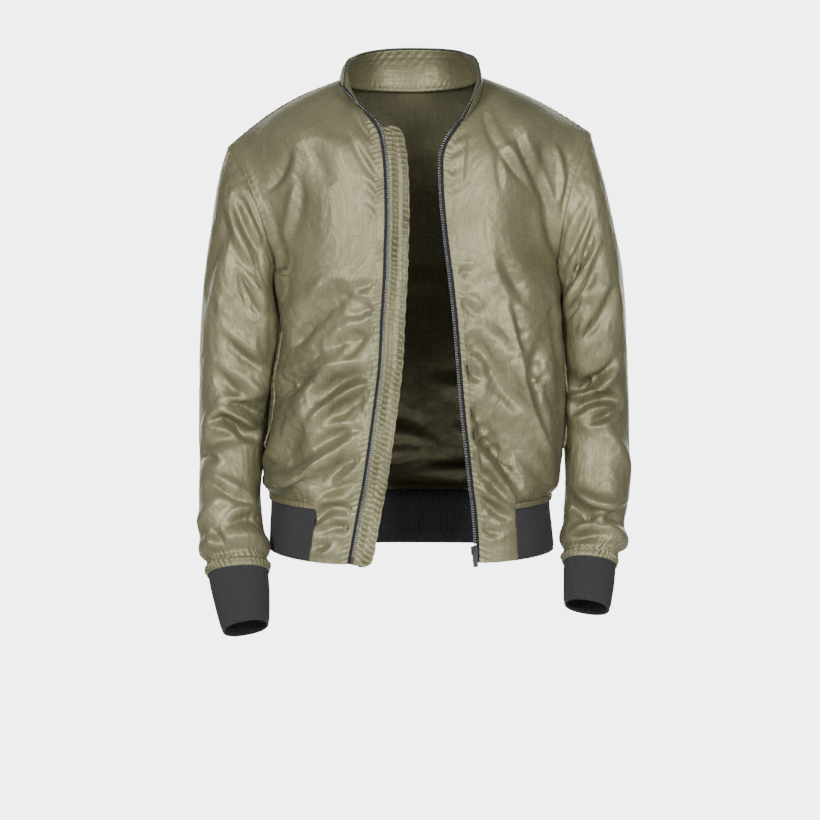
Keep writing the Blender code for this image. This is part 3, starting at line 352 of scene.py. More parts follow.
def faired(form, edges, places, across):
    """The form's net above the armpit smoothed, then read at the places and across, with its
    side columns put back on the seams."""
    net_places = np.linspace(0, LAST_ROW, 2 * LAST_ROW + 1)
    net_across = np.linspace(0, 1, 25)
    net = form(net_places, net_across)
    held = net.copy()
    share = np.clip((net_places - ARMPIT) / 3, 0, 1)[1:-1, None, None]
    for _ in range(FAIRING):
        middle = (net[:-2, 1:-1] + net[2:, 1:-1] + net[1:-1, :-2] + net[1:-1, 2:]) / 4
        net[1:-1, 1:-1] += 0.5 * share * (middle - net[1:-1, 1:-1])
    net[:, 0], net[:, -1] = held[:, 0], held[:, -1]
    rows = spline(net_places, net.reshape(len(net), -1), places).reshape(len(places), len(net_across), 3)
    turned = rows.transpose(1, 0, 2).reshape(len(net_across), -1)
    grid = spline(net_across, turned, np.asarray(across)).reshape(len(across), len(places), 3)
    grid = grid.transpose(1, 0, 2)
    for column, wanted in edges.items():
        reach = np.abs(np.asarray(across) - np.asarray(across)[column])
        share = np.clip(1 - reach / 0.15, 0, 1)[None, :, None] ** 2
        grid = grid + (wanted - grid[:, column])[:, None] * share
    return grid


def front_form(side, places, across):
    rows = body_rows(side)
    knots = np.arange(len(rows["edge"]), dtype=float)
    edge = spline(knots, rows["edge"], places)
    start = spline(knots, rows["start"], places)
    way = spline(knots, unit(rows["way"]), places)
    return bezier_rows(edge, start, side_points(side, rows, places, True), way, across)


def front_grid(side, places, across):
    """The front panel's outer face, a row for each place from the hem up."""
    rows = body_rows(side)
    places = np.asarray(places, float)
    edges = {}
    if across[0] == 0 and across[-1] == 1:
        edges = {0: spline(np.arange(LAST_ROW + 1.0), rows["edge"], places)}
        edges[-1] = side_points(side, rows, places, True)
    grid = faired(lambda p, a: front_form(side, p, a), edges, places, across)
    heights = fold_height(FRONT_FOLDS[side], across, places, FRONT_WIDTH)
    return raised(grid, heights * seam_fade(across, places, .16, .10), side > 0)


def seam_fade(across, places, first, last):
    """Folds fade out at a panel's edges, so that its seams stay where the next piece's are."""
    across = np.asarray(across)
    sideways = np.clip(across / first, 0, 1) * np.clip((1 - across) / last, 0, 1)
    upward = np.clip((np.asarray(places) - HEM_SEAM + .2) / 1.2, 0, 1)
    fade = upward[:, None] * sideways[None, :]
    return fade * fade * (3 - 2 * fade)


def back_form(places, across):
    halves = {}
    for side in (RIGHT, LEFT):
        rows = body_rows(side)
        knots = np.arange(len(rows["centre"]), dtype=float)
        centre = spline(knots, rows["centre"], places)
        way = spline(knots, unit(rows["way"] * (1, -1, 1)), places)
        outward = np.tile([float(side), 0, 0], (len(places), 1))
        share = [abs(2 * a - 1) for a in across if (2 * a - 1) * side >= 0]
        order = np.argsort(share)
        sides = side_points(side, rows, places, False)
        half = bezier_rows(centre, outward, sides, way, np.array(share)[order])
        halves[side] = half
    return np.concatenate([halves[RIGHT][:, ::-1], halves[LEFT][:, 1:]], axis=1)


def back_grid(places, across):
    """The back panel's outer face, each row from the right side round the back to the left."""
    places = np.asarray(places, float)
    edges = {
        0: side_points(RIGHT, body_rows(RIGHT), places, False),
        -1: side_points(LEFT, body_rows(LEFT), places, False),
    }
    grid = faired(back_form, edges, places, across)
    heights = fold_height(BACK_FOLDS, across, places, BACK_WIDTH)
    return raised(grid, heights * seam_fade(across, places, .06, .06))


def raised(grid, height, flip=False, wrap=False):
    """The grid moved out along its own normals."""
    return grid + grid_normals(grid, flip, wrap) * height[..., None]


def grid_normals(grid, flip=False, wrap=False):
    down = np.gradient(grid, axis=0)
    if wrap:
        over = (np.roll(grid, -1, axis=1) - np.roll(grid, 1, axis=1)) / 2
    else:
        over = np.gradient(grid, axis=1)
    return unit(np.cross(over, down)) * (1 if flip else -1)


def ring(side, row, turns):
    """A sleeve ring's points. A turn of 0 is the outer point and 0.25 the front."""
    r = dict(zip(RING_NAMES.split(), row))
    outer = np.array([side * r["outer_x"], r["mid_y"], r["outer_z"]])
    inner = np.array([side * r["inner_x"], r["mid_y"], r["inner_z"]])
    tip = math.radians(r["tip_deg"])
    front = r["depth"] * np.array([0, -math.cos(tip), math.sin(tip)])
    c, s = np.cos(2 * math.pi * turns), np.sin(2 * math.pi * turns)
    c, s = np.sign(c) * np.abs(c) ** RING_SQUARENESS, np.sign(s) * np.abs(s) ** RING_SQUARENESS
    return (outer + inner) / 2 + c[:, None] * (outer - inner) / 2 + s[:, None] * front


def armhole_turns(places):
    """How far round the sleeve each of the body's armhole rows is, by the front, then the back."""
    turn = np.interp(places, np.arange(ARMPIT, SHOULDER_TIP + 1), table(ARMHOLE_NAMES, ARMHOLE)["angle"])
    by_front = turn[::-1] / 360  # from the tip to the armpit
    return by_front, 1 - by_front[::-1][1:-1]


def sleeve_grid(side, armhole_places, steps):
    """The sleeve's outer face: a row for each ring down to the cuff seam, its first on the armhole."""
    by_front, by_back = armhole_turns(armhole_places)
    turns = np.concatenate([by_front, by_back])
    first = np.concatenate([
        armhole(side, by_front * 360, True),
        armhole(side, (1 - by_back) * 360, False),
    ])
    rings = np.array([first] + [ring(side, row, turns) for row in SLEEVES[side]])
    knots = np.arange(len(rings), dtype=float)
    grid = spline(knots, rings.reshape(len(rings), -1), steps).reshape(len(steps), -1, 3)
    steps = np.asarray(steps)
    ends = np.clip(np.minimum(steps / 1.5, (len(SLEEVES[side]) - steps) / 1.0), 0, 1)
    heights = fold_height(SLEEVE_FOLDS[side], turns, steps, SLEEVE_ROUND) * ends[:, None]
    return raised(grid, heights, side > 0, True)


def cuff_grid(side, turns, steps):
    rings = np.array([ring(side, row, turns) for row in CUFFS[side]])
    knots = np.arange(len(rings), dtype=float)
    return spline(knots, rings.reshape(len(rings), -1), steps).reshape(len(steps), -1, 3)


def collar_top(side, across):
    """Half of the collar's top edge, from the front corner (0) by the side to the centre back (1)."""
    corner = np.array(COLLAR_CORNER[side]) * (side, 1, 1)
    middle = np.array(COLLAR_SIDE[side]) * (side, 1, 1)
    back = np.array(COLLAR_BACK, float)
    front_share = 0.5
    front = bezier_rows(
        corner[None], np.array([[.02 * side, .62, .60]]), middle[None], np.array([[-.12 * side, 1, .18]]),
        [a / front_share for a in across if a <= front_share],
    )[0]
    rear = bezier_rows(
        middle[None], np.array([[-.12 * side, 1, .18]]), back[None], np.array([[-1.0 * side, 0, 0]]),
        [(a - front_share) / (1 - front_share) for a in across if a > front_share],
    )[0]
    return np.concatenate([front, rear])


def zip_frames(side, front, collar):
    """(point, across to the opening, outward, along) up the whole front edge."""
    collar_edge = collar[:, 0] if side == RIGHT else collar[:, -1]
    collar_next = collar[:, 1] if side == RIGHT else collar[:, -2]
    points = np.concatenate([front[:, 0], collar_edge[1:]])
    inner = np.concatenate([front[:, 1], collar_next[1:]])
    along = unit(np.gradient(points, axis=0))
    across = points - inner
    across = unit(across - along * (across * along).sum(1, keepdims=True))
    out = np.cross(along, across) * side
    return points, across, out, along


def along_edge(frames, distances):
    """The frames read at distances up the front edge."""
    far = run_lengths(frames[0])
    return [np.stack([np.interp(distances, far, v[:, k]) for k in range(3)], axis=1) for v in frames], far


# ---------------------------------------------------------------- materials


def linear(*srgb):
    """An sRGB colour of 0 to 255 as linear values."""
    return tuple(((c / 255 + 0.055) / 1.055) ** 2.4 if c > 10 else c / 255 / 12.92 for c in srgb)


class Finish:
    """A procedural material with short names for its nodes."""

    def __init__(self, name, roughness=0.5, metallic=0.0, sheen=0.0, sheen_roughness=0.5):
        self.made = bpy.data.materials.new(name)
        self.made.use_nodes = True
        self.tree = self.made.node_tree
        self.shader = self.tree.nodes["Principled BSDF"]
        self.shader.inputs["Roughness"].default_value = roughness
        self.shader.inputs["Metallic"].default_value = metallic
        self.shader.inputs["Sheen Weight"].default_value = sheen
        self.shader.inputs["Sheen Roughness"].default_value = sheen_roughness

    def node(self, kind, **values):
        made = self.tree.nodes.new(kind)
        for key, value in values.items():
            if hasattr(made, key) and key not in made.inputs:
                setattr(made, key, value)
            else:
                made.inputs[key].default_value = value
        return made

    def link(self, out, into):
        self.tree.links.new(out, into)

    def cloth_map(self, scale_across, scale_along):
        """The cloth's own coordinates, in metres along its cut, scaled."""
        uv = self.node("ShaderNodeUVMap", uv_map="cut")
        mapping = self.node("ShaderNodeMapping")
        mapping.inputs["Scale"].default_value = (scale_across, scale_along, 1)
        self.link(uv.outputs[0], mapping.inputs[0])
        return mapping.outputs[0]

    def object_map(self, scale=1.0):
        place = self.node("ShaderNodeTexCoord")
        mapping = self.node("ShaderNodeMapping")
        mapping.inputs["Scale"].default_value = (scale, scale, scale)
        self.link(place.outputs["Object"], mapping.inputs[0])
        return mapping.outputs[0]

    def noise(self, vector, scale, detail=3.0, roughness=0.5):
        made = self.node("ShaderNodeTexNoise", Scale=scale, Detail=detail, Roughness=roughness)
        self.link(vector, made.inputs["Vector"])
        return made.outputs["Fac"]

    def wave(self, vector, scale, direction="X", distortion=0.0):
        made = self.node("ShaderNodeTexWave", Scale=scale, Distortion=distortion)
        made.bands_direction = direction
        self.link(vector, made.inputs["Vector"])
        return made.outputs["Fac"]

    def math(self, operation, a, b):
        made = self.node("ShaderNodeMath", operation=operation)
        for socket, value in zip(made.inputs, (a, b)):
            if isinstance(value, (int, float)):
                socket.default_value = value
            else:
                self.link(value, socket)
        return made.outputs[0]

    def mix(self, factor, a, b, blend="MIX"):
        made = self.node("ShaderNodeMix", data_type="RGBA", blend_type=blend)
        for socket, value in zip((made.inputs[0], made.inputs[6], made.inputs[7]), (factor, a, b)):
            if isinstance(value, (int, float)):
                socket.default_value = value
            elif isinstance(value, tuple):
                socket.default_value = (*value, 1)
            else:
                self.link(value, socket)
        return made.outputs[2]

    def ramp(self, value, low, high, to_low=0.0, to_high=1.0):
        made = self.node("ShaderNodeMapRange")
        for socket, number in zip(made.inputs[1:5], (low, high, to_low, to_high)):
            socket.default_value = number
        self.link(value, made.inputs[0])
        return made.outputs[0]

    def colour(self, value):
        if isinstance(value, tuple):
            self.shader.inputs["Base Color"].default_value = (*value, 1)
        else:
            self.link(value, self.shader.inputs["Base Color"])
        return self

    def roughness(self, value):
        self.link(value, self.shader.inputs["Roughness"])
        return self

    def bump(self, *layers):
        """Each layer is (height, distance in metres)."""
        normal = None
        for height, distance in layers:
            made = self.node("ShaderNodeBump", Strength=1.0, Distance=distance)
            self.link(height, made.inputs["Height"])
            if normal is not None:
                self.link(normal, made.inputs["Normal"])
            normal = made.outputs["Normal"]
        self.link(normal, self.shader.inputs["Normal"])
        return self


EDGE_TINT = (0.42, 0.41, 0.34)


def nylon(name, tint=1.0, gloss=0.44):
    """Satin nylon taffeta: fine warp and weft, slubs both ways and a broad satin sheen."""
    f = Finish(name, metallic=0.52, sheen=0.05, sheen_roughness=0.4)
    f.shader.inputs["Specular Tint"].default_value = (*EDGE_TINT, 1)
    light = tuple(c * tint for c in linear(140, 136, 107))
    dark = tuple(c * tint for c in linear(120, 117, 91))
    patches = f.ramp(f.noise(f.object_map(), 9.0, 3.0), 0.35, 0.65)
    slub_up = f.noise(f.cloth_map(520, 22), 1.0, 3.0)
    slub_over = f.noise(f.cloth_map(18, 560), 1.0, 3.0)
    slubs = f.math("ADD", slub_up, slub_over)
    shade = f.mix(f.ramp(slubs, 0.8, 1.2), (0.86, 0.86, 0.86), (1.10, 1.10, 1.09))
    f.colour(f.mix(1.0, f.mix(patches, light, dark), shade, "MULTIPLY"))
    f.roughness(f.ramp(slubs, 0.8, 1.2, gloss + 0.05, gloss - 0.04))
    warp = f.wave(f.cloth_map(1, 1), 320.0, "X")
    weft = f.wave(f.cloth_map(1, 1), 320.0, "Y")
    crinkle = f.noise(f.cloth_map(1, 1), 70.0, 3.0, 0.55)
    f.bump((crinkle, 0.0011), (slubs, 0.00010), (f.math("MULTIPLY", warp, weft), 0.00005))
    return f.made


def rib_knit():
    """Charcoal knit: small loops along each rib, flecked with lighter yarn."""
    f = Finish("rib knit", roughness=0.9, sheen=0.06, sheen_roughness=0.6)
    flecks = f.noise(f.cloth_map(900, 500), 1.0, 2.0)
    f.colour(f.mix(f.ramp(flecks, 0.35, 0.7), linear(30, 30, 33), linear(50, 49, 53)))
    loops = f.wave(f.cloth_map(1, 1), 210.0, "Y", 0.6)
    f.bump((loops, 0.00025), (f.noise(f.cloth_map(1, 1), 1500.0), 0.00015))
    return f.made


def tape_cloth():
    f = Finish("zip tape", roughness=0.8, sheen=0.1)
    twill = f.wave(f.cloth_map(1, 1), 260.0, "DIAGONAL")
    f.colour(f.mix(twill, linear(12, 12, 14), linear(24, 25, 29)))
    f.bump((twill, 0.00015))
    return f.made


def dark_metal(name="dark nickel", shade=(96, 98, 106)):
    f = Finish(name, metallic=1.0)
    f.colour(linear(*shade))
    scratches = f.noise(f.object_map(900.0), 1.0, 4.0)
    f.roughness(f.ramp(scratches, 0.3, 0.7, 0.26, 0.42))
    f.bump((scratches, 0.00004))
    return f.made


def cord_cloth():
    f = Finish("edge cord", roughness=0.6, sheen=0.1)
    twist = f.wave(f.object_map(), 160.0, "DIAGONAL")
    f.colour(f.mix(twist, linear(44, 58, 48), linear(58, 76, 62)))
    f.bump((twist, 0.0002))
    return f.made


def thread():
    f = Finish("thread", roughness=0.55, sheen=0.1)
    f.colour(f.mix(f.noise(f.object_map(400.0), 1.0), linear(120, 117, 88), linear(150, 146, 112)))
    return f.made


def plain_stage(name, colour):
    f = Finish(name, roughness=0.9)
    f.colour(colour)
    return f.made


# ---------------------------------------------------------------- fine surfaces


def lengths(grid, axis):
    """Distance along the grid's rows (axis 1) or columns (axis 0), from the first."""
    steps = np.linalg.norm(np.diff(grid, axis=axis), axis=2)
    first = np.zeros_like(steps[:1]) if axis == 0 else np.zeros_like(steps[:, :1])
    return np.concatenate([first, np.cumsum(steps, axis=axis)], axis=axis)


def cut_map(grid, wrap=False):
    """Each point's place on the flat cut, in metres: across, then along."""
    if wrap:
        grid = np.concatenate([grid, grid[:, :1]], axis=1)
    across, along = lengths(grid, 1), lengths(grid, 0)
    return np.stack([across - across.mean(axis=1, keepdims=True), along], axis=2)


def resampled(grid, rows, columns, wrap=False):
    """The grid read at fractional rows and columns through smooth curves."""
    if wrap:
        extra = 4
        grid = np.concatenate([grid[:, -extra:], grid, grid[:, : extra + 1]], axis=1)
        columns = np.asarray(columns) + extra
    count, width = grid.shape[:2]
    tall = spline(np.arange(float(count)), grid.reshape(count, -1), np.asarray(rows, float))
    turned = tall.reshape(len(rows), width, 3).transpose(1, 0, 2).reshape(width, -1)
    wide = spline(np.arange(float(width)), turned, np.asarray(columns, float))
    return wide.reshape(len(columns), len(rows), 3).transpose(1, 0, 2)


def mesh_object(name, points, faces, finish, uvs=None):
    """uvs holds a (u, v) for each face corner, in the faces' order."""
    mesh = bpy.data.meshes.new(name)
    mesh.from_pydata(np.asarray(points).tolist(), [], [list(map(int, f)) for f in faces])
    if uvs is not None:
        layer = mesh.uv_layers.new(name="cut")
        layer.data.foreach_set("uv", np.asarray(uvs, np.float32).ravel())
    for one in finish if isinstance(finish, (list, tuple)) else [finish]:
        mesh.materials.append(one)
    mesh.shade_smooth()
    made = bpy.data.objects.new(name, mesh)
    bpy.context.scene.collection.objects.link(made)
    return made


def grid_object(name, grid, finish, flip=False, wrap=False, skip=None, wall=0.0012):
    """A grid as a smooth sheet, thickened inwards by its wall."""
    rows, width = grid.shape[:2]
    cells = width if wrap else width - 1
    i, j = np.meshgrid(np.arange(rows - 1), np.arange(cells), indexing="ij")
    if skip is not None:
        keep = ~skip
        i, j = i[keep], j[keep]
    i, j = i.ravel(), j.ravel()
    here, beside = i * width + j, i * width + (j + 1) % width
    loop = np.stack([here, beside, beside + width, here + width], 1)
    uv = cut_map(grid, wrap)
    corners = np.stack([uv[i, j], uv[i, j + 1], uv[i + 1, j + 1], uv[i + 1, j]], 1)
    if not flip:
        loop, corners = loop[:, ::-1], corners[:, ::-1]
    used = np.unique(loop)
    place = np.zeros(rows * width, int)
    place[used] = np.arange(len(used))
    made = mesh_object(name, grid.reshape(-1, 3)[used], place[loop], finish, corners.reshape(-1, 2))
    if wall:
        thick = made.modifiers.new("wall", "SOLIDIFY")
        thick.thickness, thick.offset = wall, -1
        if isinstance(finish, (list, tuple)) and len(finish) > 1:
            thick.material_offset = 1
    return made


def place_piece(piece, node, body="jacket"):
    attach(piece, body)
    if node:
        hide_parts(*([node] if isinstance(node, str) else node))
    return piece


# ---------------------------------------------------------------- the settled shell

SIM_ROWS = (14, 48, 30, 20)  # cells up the hem, side, armhole and shoulder stretches
SIM_FRONT, SIM_BACK, SIM_SLEEVE = 36, 72, 100
SIM_FRAMES = 30
LOOSE = 0.12  # how strongly a free point is held where it was drawn
BEND = 6.0
FULLER = 0.030  # how much larger than drawn the slackest cloth is
SIM_GRAVITY = 0.06
SETTLED_LOW, SETTLED_HIGH, SETTLED_SLEEVE = 0.8, 0.22, 0.50  # shares of the settling that are kept


def stretch_places(cells):
    ends = (0, HEM_SEAM, ARMPIT, SHOULDER_TIP, LAST_ROW)
    parts = [np.linspace(a, b, n + 1)[:-1] for a, b, n in zip(ends, ends[1:], cells)]
    return np.concatenate(parts + [[LAST_ROW]])


def drawn_shell():
    """The shell's five panels as drawn, before it settles."""
    places = stretch_places(SIM_ROWS)
    armhole_places = places[SIM_ROWS[0] + SIM_ROWS[1] : sum(SIM_ROWS[:3]) + 1]
    panels = {
        "front_right": front_grid(RIGHT, places, np.linspace(0, 1, SIM_FRONT + 1)),
        "front_left": front_grid(LEFT, places, np.linspace(0, 1, SIM_FRONT + 1)),
        "back": back_grid(places, np.linspace(0, 1, SIM_BACK + 1)),
    }
    for side, tag in SIDES:
        steps = np.linspace(0, len(SLEEVES[side]), SIM_SLEEVE + 1)
        panels["sleeve_" + tag] = sleeve_grid(side, armhole_places, steps)
    return panels, places


def join_panels(panels, places):
    """One mesh of all the panels with their seams sewn, and each panel's point numbers in it."""
    rib = int(np.searchsorted(places, HEM_SEAM))
    points, found, numbers, quads = [], {}, {}, []
    for name, grid in panels.items():
        wrap = name.startswith("sleeve")
        ids = np.full(grid.shape[:2], -1)
        first = rib if name == "back" else 0
        for i in range(first, grid.shape[0]):
            for j in range(grid.shape[1]):
                edge = i in (first, grid.shape[0] - 1) or (not wrap and j in (0, grid.shape[1] - 1))
                key = tuple(np.round(grid[i, j] / 1e-4).astype(int)) if edge else None
                if key is not None and key in found:
                    ids[i, j] = found[key]
                    continue
                ids[i, j] = len(points)
                points.append(grid[i, j])
                if key is not None:
                    found[key] = ids[i, j]
        numbers[name] = ids
        width = grid.shape[1]
        for i in range(first, grid.shape[0] - 1):
            for j in range(width if wrap else width - 1):
                k = (j + 1) % width
                quads.append((ids[i, j], ids[i, k], ids[i + 1, k], ids[i + 1, j]))
    return np.array(points), numbers, quads


def settle(panels, places):
    """Blender's cloth settles the sewn shell, a little larger than drawn, so that it creases."""
    points, numbers, quads = join_panels(panels, places)
    pin = np.full(len(points), LOOSE)
    full = np.full(len(points), 0.5)
    for name, ids in numbers.items():
        used = ids >= 0
        if name.startswith("sleeve"):
            share = np.linspace(0, 1, ids.shape[0])[:, None] * np.ones(ids.shape[1])
            held = np.where(share > 0.985, 1.0, LOOSE)
            held[0] = 0.55
            slack = 0.5 + 0.5 * bell(share - 0.55, 0.25)
        else:
            rows = places[:, None] * np.ones(ids.shape[1])
            held = np.where(rows > 15.9, 1.0, np.where(rows > 13.5, 0.45, LOOSE))
            held = np.where(np.abs(rows - HEM_SEAM) < 0.08, 1.0, held)
            if name == "back":
                slack = 0.7 - 0.6 * eased((rows - 5) / 5)
            else:
                held = np.where(rows < HEM_SEAM, 0.8, held)
                held[:, 0] = 1
                held[:, 1] = np.maximum(held[:, 1], 0.7)
                slack = 0.8 - 0.7 * eased((rows - 5) / 5)
        pin[ids[used]] = np.maximum(pin[ids[used]], held[used])
        full[ids[used]] = slack[used]
    mesh = bpy.data.meshes.new("shell")
    mesh.from_pydata(points.tolist(), [], [list(map(int, q)) for q in quads])
    shell = bpy.data.objects.new("shell", mesh)
    bpy.context.scene.collection.objects.link(shell)
    for group, weights in (("held", pin), ("full", full)):
        made = shell.vertex_groups.new(name=group)
        for level in np.unique(np.round(weights, 2)):
            made.add(np.nonzero(np.round(weights, 2) == level)[0].tolist(), float(level), "REPLACE")
    cloth = shell.modifiers.new("cloth", "CLOTH")
    s = cloth.settings
    s.quality = 5
    s.mass = 0.12
    s.air_damping = 2.0
    s.tension_stiffness = s.compression_stiffness = 25
    s.shear_stiffness = 8
    s.bending_model = "ANGULAR"
    s.bending_stiffness = BEND
    s.tension_damping = s.compression_damping = s.shear_damping = 12
    s.bending_damping = 4
    s.vertex_group_mass = "held"
    s.pin_stiffness = 1.0
    s.vertex_group_shrink = "full"
    s.shrink_min, s.shrink_max = 0.0, -FULLER
    s.effector_weights.gravity = SIM_GRAVITY
    cloth.collision_settings.use_collision = False
    cloth.point_cache.frame_start, cloth.point_cache.frame_end = 1, SIM_FRAMES
    scene = bpy.context.scene
    for frame_number in range(1, SIM_FRAMES + 1):
        scene.frame_set(frame_number)
    settled = shell.evaluated_get(bpy.context.evaluated_depsgraph_get()).data
    out = np.empty(len(points) * 3, np.float32)
    settled.vertices.foreach_get("co", out)
    out = out.reshape(-1, 3).astype(float)
    scene.frame_set(1)
    bpy.data.objects.remove(shell)
    moved = {name: grid.copy() for name, grid in panels.items()}
    for name, ids in numbers.items():
        moved[name][ids >= 0] = out[ids[ids >= 0]]
    return moved


def eased(x):
    x = np.clip(x, 0, 1)
    return x * x * (3 - 2 * x)


def kept_share(name, places):
    """How much of the settled creasing each row of a panel keeps: the chest and shoulders are taut."""
    if name.startswith("sleeve"):
        return SETTLED_SLEEVE
    return (SETTLED_LOW + (SETTLED_HIGH - SETTLED_LOW) * eased((places - 4.5) / 5))[:, None, None]


# ---------------------------------------------------------------- fine pieces

FOLD_SCALE, FOLD_SCALE_LOW = 1.45, 0.55
PANEL_STEP = {"front": (0.0019, 0.0030), "back": (0.0032, 0.0036), "sleeve": (0.0027, 0.0022)}
COLLAR_STITCH = 0.010  # the stitch row below the collar's top edge
ZIP_STITCH = 0.0095  # the stitch row beside the zip, from the front edge
SEAM_LINE = 0.0022  # half width of a seam's valley


def bell(x, width, power=2):
    """1 at x = 0, falling to 0 a few widths away. A higher power gives a flatter top."""
    return np.exp(-((x / width) ** power))


def edge_spaced(length, near, fine, coarse, ends=(True, True)):
    """Positions from 0 to length, fine within `near` of the marked ends and coarse between."""
    positions = [0.0]
    while positions[-1] < length:
        x = positions[-1]
        close = (ends[0] and x < near) or (ends[1] and length - x < near)
        positions.append(x + (fine if close else coarse))
    positions = np.array(positions)
    return positions * length / positions[-1]


def seam_relief(distance, along, depth=0.0012, pucker=0.0011, reach=0.007, pitch=0.008, seed=0):
    """The valley of a seam and the uneven puckers beside it."""
    wobble = smooth_noise(along, 0.03, seed) * 1.6
    strength = 0.45 + 0.55 * (0.5 + 0.5 * smooth_noise(along, 0.05, seed + 1))
    ripple = np.sin(2 * math.pi * along / pitch + wobble * 2.5 + distance / reach * 0.6)
    valley = -depth * bell(distance, SEAM_LINE)
    return valley + pucker * strength * ripple * bell(distance, reach) * (1 - bell(distance, 0.002))


def smooth_noise(x, wavelength, seed):
    """A smooth curve of about -1 to 1 through random values a wavelength apart."""
    x = np.asarray(x, float)
    values = np.random.default_rng(1000 + seed).uniform(-1, 1, 4096)
    t = x / wavelength + 64
    i = np.floor(t).astype(int)
    f = t - i
    f = f * f * (3 - 2 * f)
    return values[i % 4096] * (1 - f) + values[(i + 1) % 4096] * f
